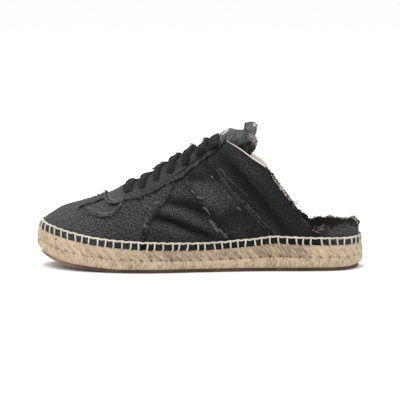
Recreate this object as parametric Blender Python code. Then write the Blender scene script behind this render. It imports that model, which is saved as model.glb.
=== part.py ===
"""Lace-front slip-on shoe on a braided jute sole, as separate solids.

One left shoe in metres. The toe points to -X, the lateral side faces -Y and +Z is up. It stands on
z = 0, and the origin is under the middle of its outline.
"""

import bisect
import functools
import math
from collections import namedtuple

import bmesh
import bpy
import numpy as np

# Driving sizes of the sole, in metres
LENGTH = 0.285
BALL_WIDTH = 0.103
HEEL_WIDTH = 0.074
SOLE_DEPTH = 0.0252
TOE_SPRING = 0.014
OUTSOLE_THICKNESS = 0.003
OUTSOLE_INSET = 0.0032
BRAID_BULGE = 0.0016
STRAND_PITCH = 0.0078
STRAND_RELIEF = 0.0005
BRAID_RIM = 0.004
INSOLE_THICKNESS = 0.003

# Driving sizes of the upper, the tongue and what is sewn on them
INSTEP_HEIGHT = 0.128
COLLAR_HEIGHT = 0.112
HEEL_RIM_HEIGHT = 0.039
UPPER_WALL = 0.0018
FEATHER_INSET = 0.0032
TOE_LEAN = 0.0115
TONGUE_WALL = 0.0026
TONGUE_WIDTH = 0.050
OVERLAY_WALL = 0.0011
THROAT_GAP = 0.027

# Driving sizes of the lace
LACE_ROWS = 7
LACE_WIDTH = 0.0048
LACE_THICKNESS = 0.0022
LACE_TURN = 0.003
LACE_CLEARANCE = 0.0008
LACE_HIGH_CROSSING = 0.00286
LACE_LOW_CROSSING = 0.00022

# Clearance between pieces that touch on the real shoe, and between the edges of two overlays
FIT = 0.0003
OVERLAY_FIT = 0.0005
TONGUE_FIT = 0.0006
EDGE_GAP = 0.0015

# How finely the pieces are divided
STATIONS = 40
STATION_GAP = 0.006
GIRTH_STEPS = 8
OUTLINE_POINTS = 72
OUTLINE_MARKS = 1440
PLAN_MARKS = 400
TONGUE_STEPS = 4
STAY_STEPS = 4
GUARD_STEPS = 5
STEM_STEPS = 3
PATCH_ROWS = 8
PATCH_STEPS = 4
LACE_STEPS = 2
LACE_SIDES = 6

# Steps in turn and girth over which directions are measured
TURN_STEP = 0.01
SKIN_STEP = 0.006
SKIN_TOP = 0.98

# Plan of the sole from toe to heel: shares of the length and of the local width
Plan = namedtuple("Plan", "along centre lateral medial")
SOLE_PLAN = [
    Plan(0.00, 0.080, 0.360, 0.290),
    Plan(0.08, 0.060, 0.400, 0.355),
    Plan(0.14, 0.040, 0.435, 0.410),
    Plan(0.25, 0.005, 0.485, 0.480),
    Plan(0.33, 0.000, 0.495, 0.455),
    Plan(0.43, 0.000, 0.480, 0.390),
    Plan(0.52, 0.000, 0.475, 0.375),
    Plan(0.64, 0.000, 0.490, 0.410),
    Plan(0.78, 0.000, 0.505, 0.475),
    Plan(0.90, 0.005, 0.490, 0.490),
    Plan(1.00, 0.010, 0.460, 0.460),
]
TOE_ROUND = 0.16
HEEL_ROUND = 0.12
ROUND_POWER = 2.2
WAIST_START = 0.35
WAIST_END = 0.75
LEAN_LENGTH = 0.35
LEAN_POWER = 2.2
SHIFT_START = 0.06

# Side of the sole: lift as a share of the toe spring, depth as a share of the sole's depth
Side = namedtuple("Side", "along lift depth")
SOLE_SIDE = [
    Side(0.00, 1.00, 0.80),
    Side(0.08, 0.38, 0.92),
    Side(0.14, 0.19, 0.89),
    Side(0.20, 0.08, 0.86),
    Side(0.26, 0.00, 0.84),
    Side(0.33, 0.00, 0.79),
    Side(0.50, 0.00, 0.755),
    Side(0.66, 0.00, 0.87),
    Side(0.73, 0.00, 0.95),
    Side(0.80, 0.00, 0.90),
    Side(0.94, 0.00, 0.867),
    Side(1.00, 0.15, 0.79),
]

# Section of the braid: share of its height, share of the bulge, strand lean in pitches, strand relief
Braid = namedtuple("Braid", "height inset lean relief")
BRAID_SIDE = [
    Braid(0.00, 1.9, 0.15, 0.0),
    Braid(0.10, 0.7, 0.10, 0.5),
    Braid(0.28, 0.0, 0.00, 0.8),
    Braid(0.47, 1.0, -0.10, 0.2),
    Braid(0.70, 0.0, 0.35, 1.0),
    Braid(0.90, 0.3, 0.75, 0.8),
    Braid(1.00, 1.0, 0.90, 0.0),
]

# Ridge of the last from toe to heel: height as a share of the instep, shift as a share of the ball
Ridge = namedtuple("Ridge", "along height shift")
RIDGE = [
    Ridge(0.05, 0.358, 0.00),
    Ridge(0.08, 0.400, 0.00),
    Ridge(0.14, 0.438, 0.01),
    Ridge(0.21, 0.483, 0.03),
    Ridge(0.27, 0.545, 0.05),
    Ridge(0.33, 0.600, 0.06),
    Ridge(0.40, 0.705, 0.06),
    Ridge(0.47, 0.800, 0.06),
    Ridge(0.54, 0.880, 0.05),
    Ridge(0.59, 0.945, 0.04),
    Ridge(0.645, 1.000, 0.03),
    Ridge(0.70, 0.985, 0.02),
    Ridge(0.85, 0.900, 0.00),
    Ridge(1.00, 0.860, 0.00),
]

# Roundness of the section: powers of the cosine across and of the sine upwards
Round = namedtuple("Round", "along across upward")
ROUNDNESS = [
    Round(0.00, 0.80, 0.85),
    Round(0.15, 0.80, 0.90),
    Round(0.28, 0.90, 0.95),
    Round(0.40, 1.00, 0.95),
    Round(0.60, 1.05, 0.92),
    Round(0.70, 1.00, 0.92),
    Round(0.82, 0.80, 0.90),
    Round(1.00, 0.70, 0.90),
]

# Throat and collar: stations as shares of the length, gap and height as shares of their sizes
THROAT_FRONT = 0.250
THROAT_ROUND = 0.025
Gap = namedtuple("Gap", "along gap")
THROAT = [Gap(0.250, 0.50), Gap(0.40, 0.72), Gap(0.50, 0.90), Gap(0.577, 1.00)]
COLLAR_CORNER = 0.577
Rim = namedtuple("Rim", "along height")
COLLAR = [
    Rim(0.577, 1.000),
    Rim(0.625, 0.930),
    Rim(0.665, 0.858),
    Rim(0.705, 0.790),
    Rim(0.722, 0.720),
    Rim(0.755, 0.610),
    Rim(0.780, 0.525),
    Rim(0.812, 0.420),
    Rim(0.835, 0.362),
    Rim(0.855, 0.335),
    Rim(0.885, 0.345),
    Rim(0.930, 0.350),
    Rim(1.000, 0.348),
]
LOW_RIM = 0.35

# Lower edge of the eyestay: share of the length, share of the girth from the sole to the ridge
Edge = namedtuple("Edge", "along girth")
EYESTAY_FRONT = 0.198
EYESTAY_ROUND = 0.045
EYESTAY_EDGE = [
    Edge(0.198, 0.56),
    Edge(0.26, 0.58),
    Edge(0.34, 0.55),
    Edge(0.42, 0.55),
    Edge(0.50, 0.62),
    Edge(0.577, 0.72),
]

# Windows beside the stem of the toe overlay, and the top of the overlay behind them
WINDOW_FRONT = 0.098
STEM_END = 0.188
WINDOW_TOP = [Edge(0.098, 0.63), Edge(0.13, 0.72), Edge(0.188, 0.80)]
OVERLAY_TOP = [
    Edge(0.098, 0.63),
    Edge(0.14, 0.485),
    Edge(0.19, 0.40),
    Edge(0.22, 0.39),
    Edge(0.24, 0.43),
    Edge(0.265, 0.555),
]

# Slanted seams of the side: share of the height up to the eyestay, share of the length
Seam = namedtuple("Seam", "along place")
FRONT_SEAM = [
    Seam(0.0, 0.314), Seam(0.25, 0.330), Seam(0.5, 0.350), Seam(0.75, 0.391), Seam(1.0, 0.420)
]
PATCH_FRONT = [
    Seam(0.0, 0.602), Seam(0.25, 0.538), Seam(0.5, 0.497), Seam(0.75, 0.472), Seam(1.0, 0.462)
]
PATCH_BACK = [
    Seam(0.0, 0.735), Seam(0.25, 0.651), Seam(0.5, 0.584), Seam(0.75, 0.538), Seam(1.0, 0.512)
]

# Tongue: stations as shares of the length, half width as a share of half of the tongue's width
TONGUE_START = 0.235
TONGUE_END = 0.676
TONGUE = [Gap(0.235, 0.62), Gap(0.45, 0.82), Gap(0.60, 1.00), Gap(0.676, 0.90)]

# Eyelet rows: first and last as shares of the length, place across the eyestay
FIRST_ROW = 0.277
LAST_ROW = 0.545
EYELET_PLACE = 0.46
# Places of the lace beside an eyelet and beside the throat, as shares of the strip and of the row pitch
EYELET_DIP = 0.12
EYELET_RISE = 0.15
THROAT_PLACE = 0.27

Finish = namedtuple("Finish", "colour roughness metallic")
CANVAS = Finish((0.046, 0.047, 0.051), 0.9, 0.0)
PATCH_CANVAS = Finish((0.070, 0.070, 0.072), 0.9, 0.0)
RUBBER = Finish((0.180, 0.115, 0.080), 0.7, 0.0)
JUTE = Finish((0.560, 0.430, 0.270), 0.95, 0.0)
LINING = Finish((0.780, 0.700, 0.590), 0.9, 0.0)
LACE_CLOTH = Finish((0.020, 0.020, 0.023), 0.85, 0.0)


def follow(rows, column, along):
    """Value of a table's column at a share, on a monotone cubic through its rows."""
    shares = [row.along for row in rows]
    values = [getattr(row, column) for row in rows]
    if along <= shares[0]:
        return values[0]
    if along >= shares[-1]:
        return values[-1]
    slopes = [
        (values[k + 1] - values[k]) / (shares[k + 1] - shares[k]) for k in range(len(rows) - 1)
    ]

    def tangent(k):
        if k == 0:
            return slopes[0]
        if k == len(rows) - 1:
            return slopes[-1]
        before, after = slopes[k - 1], slopes[k]
        return 2 * before * after / (before + after) if before * after > 0 else 0.0

    k = bisect.bisect_right(shares, along) - 1
    step = shares[k + 1] - shares[k]
    s = (along - shares[k]) / step
    return (
        values[k] * (1 + 2 * s) * (1 - s) ** 2
        + values[k + 1] * s * s * (3 - 2 * s)
        + step * (tangent(k) * s * (1 - s) ** 2 - tangent(k + 1) * s * s * (1 - s))
    )


def ease(start, end, value):
    """Smooth step from 0 at start to 1 at end."""
    s = min(1.0, max(0.0, (value - start) / (end - start)))
    return s * s * (3 - 2 * s)


def rounded(share):
    """Width factor of a rounded end: 0 at its tip, 1 from a share of 1 on."""
    s = min(1.0, max(0.0, share))
    return (1 - (1 - s) ** ROUND_POWER) ** (1 / ROUND_POWER)


def along_at(turn):
    """Share of the length at a turn round the shoe, 0 at the toe and pi at the heel."""
    return (1 - math.cos(turn)) / 2


def turn_at(along):
    """Turn round the shoe at a share of the length."""
    return math.acos(1 - 2 * min(1.0, max(0.0, along)))


def share_at(x):
    """Share of the sole's length at a place along X."""
    return x / LENGTH + 0.5


@functools.lru_cache(maxsize=None)
def sole_bottom(x):
    """Height of the outsole's lower face at x."""
    return TOE_SPRING * follow(SOLE_SIDE, "lift", share_at(x))


@functools.lru_cache(maxsize=None)
def sole_top(x):
    """Height of the jute's upper face at x."""
    return sole_bottom(x) + SOLE_DEPTH * follow(SOLE_SIDE, "depth", share_at(x))


@functools.lru_cache(maxsize=None)
def plan(along, inset):
    """Place along X, centre line and the two half widths of the outline, taken in by inset."""
    width = BALL_WIDTH + (HEEL_WIDTH - BALL_WIDTH) * ease(WAIST_START, WAIST_END, along)
    ends = rounded(along / TOE_ROUND) * rounded((1 - along) / HEEL_ROUND)
    return (
        -LENGTH / 2 + inset + along * (LENGTH - 2 * inset),
        BALL_WIDTH * follow(SOLE_PLAN, "centre", along) - CENTRE_SHIFT,
        (width * follow(SOLE_PLAN, "lateral", along) - inset) * ends,
        (width * follow(SOLE_PLAN, "medial", along) - inset) * ends,
    )


# Shift across that puts the middle of the outline on y = 0
CENTRE_SHIFT = 0.0
_stations = [plan(k / PLAN_MARKS, 0.0) for k in range(PLAN_MARKS + 1)]
CENTRE_SHIFT = (
    max(centre + medial for _, centre, _, medial in _stations)
    + min(centre - lateral for _, centre, lateral, _ in _stations)
) / 2
plan.cache_clear()


def outline_point(turn):
    """Point of the sole's outline at a turn, negative on the lateral side."""
    x, centre, lateral, medial = plan(along_at(turn), 0.0)
    return np.array((x, centre - lateral if turn < 0 else centre + medial))


def wrap(turn):
    """Turn brought back to the range from -pi to pi."""
    return (turn + math.pi) % (2 * math.pi) - math.pi


def inset_outline(turn, inset):
    """Point of the sole's outline moved square to it, inwards by inset."""
    ahead = outline_point(wrap(turn + TURN_STEP)) - outline_point(wrap(turn - TURN_STEP))
    inward = np.array((ahead[1], -ahead[0])) / np.linalg.norm(ahead)
    return outline_point(turn) + inset * inward


@functools.lru_cache(maxsize=None)
def section(along):
    """Everything that shapes the last's section at a share of the length."""
    x, centre, lateral, medial = plan(along, FEATHER_INSET)
    lean = TOE_LEAN * max(0.0, 1 - along / LEAN_LENGTH) ** 2
    ridge_share = share_at(x + lean)
    base = sole_top(x) + FIT
    height = INSTEP_HEIGHT * follow(RIDGE, "height", ridge_share) - base
    shift = BALL_WIDTH * follow(RIDGE, "shift", ridge_share) * ease(0.0, SHIFT_START, along)
    across = follow(ROUNDNESS, "across", along)
    upward = follow(ROUNDNESS, "upward", along)
    return x, lean, base, height, centre, shift, lateral, medial, across, upward


def surface(turn, girth):
    """Point of the upper's outer face. Girth is 0 at the sole and 1 at the ridge."""
    x, lean, base, height, centre, shift, lateral, medial, across, upward = section(along_at(turn))
    angle = math.pi / 2 * min(1.0, max(0.0, girth))
    side = -lateral - shift if turn < 0 else medial - shift
    rise = max(0.0, math.sin(angle)) ** upward
    reach = max(0.0, math.cos(angle)) ** across
    return np.array(
        (x + lean * rise**LEAN_POWER, centre + shift + side * reach, base + height * rise)
    )


def outward(turn, girth):
    """Unit normal of the upper's outer face."""
    at = min(SKIN_TOP, max(SKIN_STEP, girth))
    ahead = surface(wrap(turn + SKIN_STEP), at) - surface(wrap(turn - SKIN_STEP), at)
    up = surface(turn, at + SKIN_STEP) - surface(turn, at - SKIN_STEP)
    normal = np.cross(up, ahead)
    if girth <= 0.0:
        normal[2] = 0.0
    return normal / np.linalg.norm(normal)


def skin(turn, girth, lift):
    """Point at a lift over the upper's outer face. On the sole it keeps the fit over the jute."""
    point = surface(turn, girth) + lift * outward(turn, girth)
    if girth <= 0.0:
        point[2] = sole_top(point[0]) + FIT
    return point


def girth_at_gap(along, gap):
    """Girth at which the skin lies a distance from the ridge, measured across."""
    _, _, _, _, _, shift, lateral, medial, across, _ = section(along)
    half = (lateral + medial) / 2
    return math.acos(min(1.0, gap / half) ** (1 / across)) * 2 / math.pi


def girth_at_height(along, height):
    """Girth at which the skin reaches a height over the floor."""
    _, _, base, rise, _, _, _, _, _, upward = section(along)
    return math.asin(min(1.0, max(0.0, (height - base) / rise)) ** (1 / upward)) * 2 / math.pi


def top_girth(along):
    """Girth of the upper's top edge: the ridge, then the throat, then the collar."""
    if along <= THROAT_FRONT:
        return 1.0
    if along > COLLAR_CORNER:
        return girth_at_height(along, collar_height(along))
    gap = THROAT_GAP / 2 * follow(THROAT, "gap", along)
    return girth_at_gap(along, gap * rounded((along - THROAT_FRONT) / THROAT_ROUND))


def collar_height(along):
    """Height of the collar's edge, from the throat's corner to the low rim at the heel."""
    share = follow(COLLAR, "height", along)
    if share < LOW_RIM:
        return HEEL_RIM_HEIGHT * share / LOW_RIM
    blend = (share - LOW_RIM) / (COLLAR[0].height - LOW_RIM)
    return HEEL_RIM_HEIGHT + (COLLAR_HEIGHT - HEEL_RIM_HEIGHT) * blend


class Patch:
    """A piece of the last's skin: places as turn and girth, and the faces between them."""

    def __init__(self):
        self.places = []
        self.index = {}
        self.faces = []

    def vertex(self, turn, girth):
        """Number of a place. The two sides share what lies on the ridge, the toe and the heel."""
        girth = min(1.0, max(0.0, girth))
        if girth > 1 - 1e-6 or abs(turn) < 1e-6 or abs(turn) > math.pi - 1e-6:
            turn = abs(turn)
        key = (round(turn, 6), round(girth, 6))
        if key not in self.index:
            self.index[key] = len(self.places)
            self.places.append((turn, girth))
        return self.index[key]

    def face(self, corners):
        """Add a face, without the corners that fall together."""
        kept = [c for k, c in enumerate(corners) if c != corners[k - 1]]
        if len(set(kept)) > 2:
            self.faces.append(kept)

    def grid(self, rows, flipped):
        """Add the faces between rows of places."""
        numbers = [[self.vertex(turn, girth) for turn, girth in row] for row in rows]
        for near, far in zip(numbers, numbers[1:]):
            for k in range(len(near) - 1):
                corners = [near[k], near[k + 1], far[k + 1], far[k]]
                self.face(corners[::-1] if flipped else corners)


def both_sides(patch, rows_of):
    """Fill a patch on the lateral and on the medial side with the same rows."""
    for side in (-1, 1):
        patch.grid([[(side * turn, girth) for turn, girth in row] for row in rows_of], side > 0)


def boundary(faces):
    """Edges used by one face only, in that face's direction."""
    edges = {}
    for face in faces:
        for k, corner in enumerate(face):
            edges[(face[k - 1], corner)] = True
    return [edge for edge in edges if (edge[1], edge[0]) not in edges]


def make_object(name, points, faces, finish, sharp_angle=35):
    """Mesh object of one closed body with its own material."""
    mesh = bpy.data.meshes.new(name)
    mesh.from_pydata([tuple(point) for point in points], [], faces)
    work = bmesh.new()
    work.from_mesh(mesh)
    bmesh.ops.triangulate(work, faces=[face for face in work.faces if len(face.verts) > 3])
    bmesh.ops.recalc_face_normals(work, faces=work.faces)
    if work.calc_volume(signed=True) < 0:
        bmesh.ops.reverse_faces(work, faces=work.faces)
    work.to_mesh(mesh)
    work.free()
    mesh.shade_smooth()
    mesh.set_sharp_from_angle(angle=math.radians(sharp_angle))
    material = bpy.data.materials.new(name)
    material.use_nodes = True
    shader = material.node_tree.nodes["Principled BSDF"]
    shader.inputs["Base Color"].default_value = (*finish.colour, 1.0)
    shader.inputs["Roughness"].default_value = finish.roughness
    shader.inputs["Metallic"].default_value = finish.metallic
    material.diffuse_color = (*finish.colour, 1.0)
    mesh.materials.append(material)
    item = bpy.data.objects.new(name, mesh)
    bpy.context.scene.collection.objects.link(item)
    return item


def between(name, upper_points, lower_points, faces, finish):
    """Solid between two copies of the same faces, closed along their edges."""
    count = len(upper_points)
    walls = [[a, b, b + count, a + count] for a, b in boundary(faces)]
    under = [[corner + count for corner in reversed(face)] for face in faces]
    closing = [wall[::-1] for wall in walls]
    return make_object(name, [*upper_points, *lower_points], [*faces, *under, *closing], finish)


def shell(name, patch, low, high, finish):
    """Solid between two lifts over the last's skin."""
    outer = [skin(turn, girth, high) for turn, girth in patch.places]
    inner = [skin(turn, girth, low) for turn, girth in patch.places]
    return between(name, outer, inner, patch.faces, finish)


def spread(start, end, steps):
    """Evenly spaced values from start to end."""
    return [start + (end - start) * k / steps for k in range(steps + 1)]


def key_shares():
    """Shares of the length where an edge starts, ends or turns."""
    rounds = [(EYESTAY_FRONT, EYESTAY_ROUND, share) for share in (0.0, 0.1, 0.35)]
    rounds += [(THROAT_FRONT, THROAT_ROUND, share) for share in (0.0, 0.12, 0.4)]
    keys = [start + length * share for start, length, share in rounds]
    return [WINDOW_FRONT, STEM_END, *keys, *(row.along for row in COLLAR[:-3])]


@functools.lru_cache(maxsize=None)
def all_stations():
    """Shares of the length where sections lie, closer at the toe and the heel and at each key."""
    keys = key_shares()
    even = [along_at(turn) for turn in spread(0.0, math.pi, STATIONS)]
    kept = [share for share in even if all(abs(share - key) > STATION_GAP for key in keys)]
    return sorted({0.0, 1.0, *kept, *keys})


def stations(start, end):
    """The sections from one share of the length to another, both included."""
    inner = [share for share in all_stations() if start < share < end]
    return [start, *inner, end]


def zip_loop(points):
    """Faces across a closed loop of points, from its lateral to its medial chain."""
    count = len(points)
    toe = min(range(count), key=lambda k: points[k][0])
    heel = max(range(count), key=lambda k: points[k][0])
    up = [k % count for k in range(toe, (heel if heel > toe else heel + count) + 1)]
    down = [k % count for k in range(toe + count, toe + len(up) - 2, -1)]
    faces = []
    i = j = 0
    while i < len(up) - 1 or j < len(down) - 1:
        ahead = j == len(down) - 1 or (
            i < len(up) - 1 and points[up[i + 1]][0] <= points[down[j + 1]][0]
        )
        corners = [up[i], up[i + 1], down[j]] if ahead else [up[i], down[j + 1], down[j]]
        if len(set(corners)) == 3:
            faces.append(corners)
        i, j = (i + 1, j) if ahead else (i, j + 1)
    return faces


def loop_turns():
    """Length of the sole's outline, and a function that gives the turn at a share of it."""
    fine = spread(-math.pi, math.pi, OUTLINE_MARKS)
    marks = [outline_point(turn) for turn in fine]
    lengths = [0.0]
    for before, after in zip(marks, marks[1:]):
        lengths.append(lengths[-1] + float(np.linalg.norm(after - before)))
    total = lengths[-1]

    def at(share):
        return float(np.interp((share % 1.0) * total, lengths, fine))

    return total, at


def build_outsole():
    """Rubber sheet under the jute, flat from the ball to the heel and raised at the toe."""
    _, at = loop_turns()
    loop = [inset_outline(at(k / OUTLINE_POINTS), OUTSOLE_INSET) for k in range(OUTLINE_POINTS)]
    faces = zip_loop(loop)
    lower = [(x, y, sole_bottom(x)) for x, y in loop]
    upper = [(x, y, sole_bottom(x) + OUTSOLE_THICKNESS) for x, y in loop]
    between("outsole", upper, lower, faces, RUBBER)


def build_jute_sole():
    """Braided sole: two rows of strands round its side, a groove between them, closed faces."""
    perimeter, at = loop_turns()
    strands = round(perimeter / STRAND_PITCH)
    count = 2 * strands
    points = []
    for row in BRAID_SIDE:
        for k in range(count):
            turn = at((k / 2 + row.lean) / strands)
            relief = STRAND_RELIEF * row.relief * (1 if k % 2 else -1)
            x, y = inset_outline(turn, row.inset * BRAID_BULGE + relief)
            low = sole_bottom(x) + OUTSOLE_THICKNESS + FIT
            points.append((x, y, low + row.height * (sole_top(x) - low)))
    faces = []
    for level in range(len(BRAID_SIDE) - 1):
        for k in range(count):
            a = level * count + k
            b = level * count + (k + 1) % count
            faces.append([a, b, b + count, a + count])
    for level, row in ((0, BRAID_SIDE[0]), (len(BRAID_SIDE) - 1, BRAID_SIDE[-1])):
        start = len(points)
        ring = []
        for k in range(count // 2):
            turn = at((k + row.lean) / strands)
            x, y = inset_outline(turn, row.inset * BRAID_BULGE + BRAID_RIM)
            low = sole_bottom(x) + OUTSOLE_THICKNESS + FIT
            ring.append((x, y, low if level == 0 else sole_top(x)))
        points.extend(ring)
        half = count // 2
        for k in range(half):
            first = level * count + 2 * k
            middle = first + 1
            last = level * count + (2 * k + 2) % count
            faces.append([first, middle, start + k])
            faces.append([middle, last, start + (k + 1) % half, start + k])
        faces.extend([start + corner for corner in face] for face in zip_loop(ring))
    make_object("jute_sole", points, faces, JUTE, 60)


def build_insole():
    """Footbed on the jute, inside the upper's wall and leaning with it."""
    lift = -(UPPER_WALL + OVERLAY_FIT)
    turns = spread(-math.pi, math.pi, OUTLINE_POINTS)[:-1]
    lower = [skin(turn, 0.0, lift) for turn in turns]
    upper = []
    for turn in turns:
        along = along_at(turn)
        top = sole_top(section(along)[0]) + FIT + INSOLE_THICKNESS
        x, y, _ = skin(turn, girth_at_height(along, top), lift)
        upper.append((x, y, sole_top(x) + FIT + INSOLE_THICKNESS))
    between("insole", upper, lower, zip_loop(lower), LINING)


def build_upper():
    """Hollow body of the shoe, open underneath, at the throat and at the collar."""
    patch = Patch()
    rows = []
    for along in all_stations():
        step = top_girth(along) / GIRTH_STEPS
        rows.append([(turn_at(along), step * k) for k in range(GIRTH_STEPS + 1)])
    both_sides(patch, rows)
    shell("upper", patch, -UPPER_WALL, 0.0, CANVAS)


def build_tongue():
    """Tongue under the throat, from beneath the vamp to its free end above the collar."""
    patch = Patch()
    rows = []
    for along in stations(TONGUE_START, TONGUE_END):
        half = TONGUE_WIDTH / 2 * follow(TONGUE, "gap", along)
        gaps = spread(half, 0.0, TONGUE_STEPS)
        rows.append([(turn_at(along), girth_at_gap(along, gap)) for gap in gaps])
    both_sides(patch, rows)
    high = -(UPPER_WALL + TONGUE_FIT)
    shell("tongue", patch, high - TONGUE_WALL, high, CANVAS)


def eyestay_edge(along):
    """Girth of the eyestay's lower edge, rounded up to the ridge at its front tab."""
    edge = follow(EYESTAY_EDGE, "girth", along)
    return 1 - (1 - edge) * rounded((along - EYESTAY_FRONT) / EYESTAY_ROUND)


def build_eyestay():
    """Reinforcement round the throat, with its rounded tab in front."""
    patch = Patch()
    rows = []
    for along in stations(EYESTAY_FRONT, COLLAR_CORNER):
        low = eyestay_edge(along)
        rows.append([(turn_at(along), girth) for girth in spread(low, top_girth(along), STAY_STEPS)])
    both_sides(patch, rows)
    shell("eyestay", patch, OVERLAY_FIT, OVERLAY_FIT + OVERLAY_WALL, CANVAS)


def overlay_top(along):
    """Girth of the toe overlay's upper edge behind the window's front."""
    if along < OVERLAY_TOP[-1].along:
        return follow(OVERLAY_TOP, "girth", along)
    return eyestay_edge(along) - edge_share(along)


def edge_share(along):
    """The gap between two overlays' edges as a share of the girth."""
    _, _, _, height, _, _, lateral, medial, _, _ = section(along)
    return EDGE_GAP / (math.pi / 4 * (height + (lateral + medial) / 2))


def build_toe_overlay():
    """Front piece over the toe, its stem along the ridge and its two sides back to the seam."""
    patch = Patch()
    front = stations(0.0, STEM_END)
    rows = []
    stem_rows = []
    for along in front:
        turn = turn_at(along)
        open_here = along > WINDOW_FRONT
        low = overlay_top(along) if open_here else OVERLAY_TOP[0].girth
        high = follow(WINDOW_TOP, "girth", along) if open_here else low
        rows.append([(turn, low * k / GUARD_STEPS) for k in range(GUARD_STEPS + 1)])
        stem_rows.append([(turn, high + (1 - high) * k / STEM_STEPS) for k in range(STEM_STEPS + 1)])
    last = FRONT_SEAM[0].place
    for along in stations(STEM_END, last)[1:]:
        lean = (along - STEM_END) / (last - STEM_END)
        row = []
        for k in range(GUARD_STEPS + 1):
            share = k / GUARD_STEPS
            place = along + lean * (follow(FRONT_SEAM, "place", share) - last)
            row.append((turn_at(place), overlay_top(place) * share))
        rows.append(row)
    both_sides(patch, rows)
    both_sides(patch, stem_rows)
    shell("toe_overlay", patch, OVERLAY_FIT, OVERLAY_FIT + OVERLAY_WALL, CANVAS)


def build_side_patches():
    """Slanted cloth panel from the sole to the eyestay, one on each side."""
    for name, side in (("side_patch_lateral", -1), ("side_patch_medial", 1)):
        patch = Patch()
        rows = []
        for share in spread(0.0, 1.0, PATCH_ROWS):
            front = follow(PATCH_FRONT, "place", share)
            back = follow(PATCH_BACK, "place", share)
            row = []
            for place in spread(front, back, PATCH_STEPS):
                top = eyestay_edge(min(place, COLLAR_CORNER))
                row.append((side * turn_at(place), (top - edge_share(place)) * share))
            rows.append(row)
        patch.grid(rows, side > 0)
        shell(name, patch, OVERLAY_FIT, OVERLAY_FIT + OVERLAY_WALL, PATCH_CANVAS)


def lace_route():
    """Places of the lace: turn, girth and lift from the top lateral eyelet to the top medial one."""
    over = OVERLAY_FIT + OVERLAY_WALL + LACE_CLEARANCE + LACE_THICKNESS / 2
    shares = spread(FIRST_ROW, LAST_ROW, LACE_ROWS - 1)
    pitch = shares[1] - shares[0]
    swing = LACE_TURN / LENGTH

    def eyelet(side, row, ahead):
        """Turn of the lace at an eyelet, from one crossing to the next."""
        along = shares[row]
        low, top = eyestay_edge(along), top_girth(along)
        girth = low + (top - low) * EYELET_PLACE
        return [
            (side * turn_at(along + ahead * step * swing), girth + pull * (top - low), over)
            for step, pull in ((-1, EYELET_RISE), (0, -EYELET_DIP), (1, EYELET_RISE))
        ]

    def crossing(row, from_side, ahead):
        """Way over the throat from one side of a row to the other side of the next one."""
        middle = (shares[row] + shares[row + 1]) / 2
        lift = LACE_HIGH_CROSSING if from_side * ahead < 0 else LACE_LOW_CROSSING
        ways = []
        for side, share in ((from_side, -THROAT_PLACE), (-from_side, THROAT_PLACE)):
            place = middle + ahead * share * pitch
            ways.append((side * turn_at(place), top_girth(place), over))
        return [ways[0], (turn_at(middle), 1.0, lift), ways[1]]

    down, back = [], []
    for row in range(LACE_ROWS - 1, -1, -1):
        side = -1 if row % 2 == 0 else 1
        down.extend(eyelet(side, row, -1))
        if row > 0:
            down.extend(crossing(row - 1, side, -1))
    for row in range(LACE_ROWS):
        side = 1 if row % 2 == 0 else -1
        back.extend(eyelet(side, row, 1))
        if row < LACE_ROWS - 1:
            back.extend(crossing(row, side, 1))
    bar = (turn_at(FIRST_ROW), 1.0, over)
    return [*down, bar, *back]


def smooth_path(points, steps):
    """Points of a Catmull-Rom curve through the given ones."""
    path = []
    for k in range(len(points) - 1):
        p0 = points[max(0, k - 1)]
        p1, p2 = points[k], points[k + 1]
        p3 = points[min(len(points) - 1, k + 2)]
        for s in (step / steps for step in range(steps)):
            path.append(
                0.5 * (2 * p1 + (p2 - p0) * s + (2 * p0 - 5 * p1 + 4 * p2 - p3) * s * s
                       + (3 * p1 - p0 - 3 * p2 + p3) * s**3)
            )
    path.append(points[-1])
    return path


def build_lace():
    """One lace swept along its crossings, a bar at the first row joining its two halves."""
    places = lace_route()
    centres = [skin(turn, girth, lift) for turn, girth, lift in places]
    normals = [outward(turn, girth) for turn, girth, _ in places]
    path = smooth_path(centres, LACE_STEPS)
    up = smooth_path(normals, LACE_STEPS)
    sides = LACE_SIDES
    points = []
    for k, centre in enumerate(path):
        ahead = path[min(k + 1, len(path) - 1)] - path[max(k - 1, 0)]
        ahead = ahead / np.linalg.norm(ahead)
        across = np.cross(ahead, up[k])
        across = across / np.linalg.norm(across)
        above = np.cross(across, ahead)
        for s in range(sides):
            angle = 2 * math.pi * s / sides
            points.append(
                centre + across * math.cos(angle) * LACE_WIDTH / 2
                + above * math.sin(angle) * LACE_THICKNESS / 2
            )
    faces = []
    for k in range(len(path) - 1):
        for s in range(sides):
            a, b = k * sides + s, k * sides + (s + 1) % sides
            faces.append([a, b, b + sides, a + sides])
    faces.append(list(range(sides)))
    faces.append([len(points) - 1 - s for s in range(sides)])
    make_object("lace", points, faces, LACE_CLOTH, 60)


def clear_scene():
    """Remove whatever the scene holds."""
    for item in list(bpy.data.objects):
        bpy.data.objects.remove(item, do_unlink=True)


def main():
    """Build every piece of the shoe."""
    clear_scene()
    build_outsole()
    build_jute_sole()
    build_insole()
    build_upper()
    build_tongue()
    build_toe_overlay()
    build_eyestay()
    build_side_patches()
    build_lace()


main()
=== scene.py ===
"""Looks of a lace-front slip-on shoe: washed canvas, braided jute sole and blanket stitch.

The toe points to -X, the lateral side faces -Y, +Z is up, and the shoe stands on z = 0. Every cloth
piece follows one last: a turn round the shoe and a girth from the sole to the ridge. Creases are
placed one by one on the seen side, at x and at the height seen by a viewer a little above the floor.
"""

import logging
import math
from dataclasses import dataclass
from enum import Enum
from typing import Callable, Iterable, NamedTuple, Optional, Sequence, Union

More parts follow.
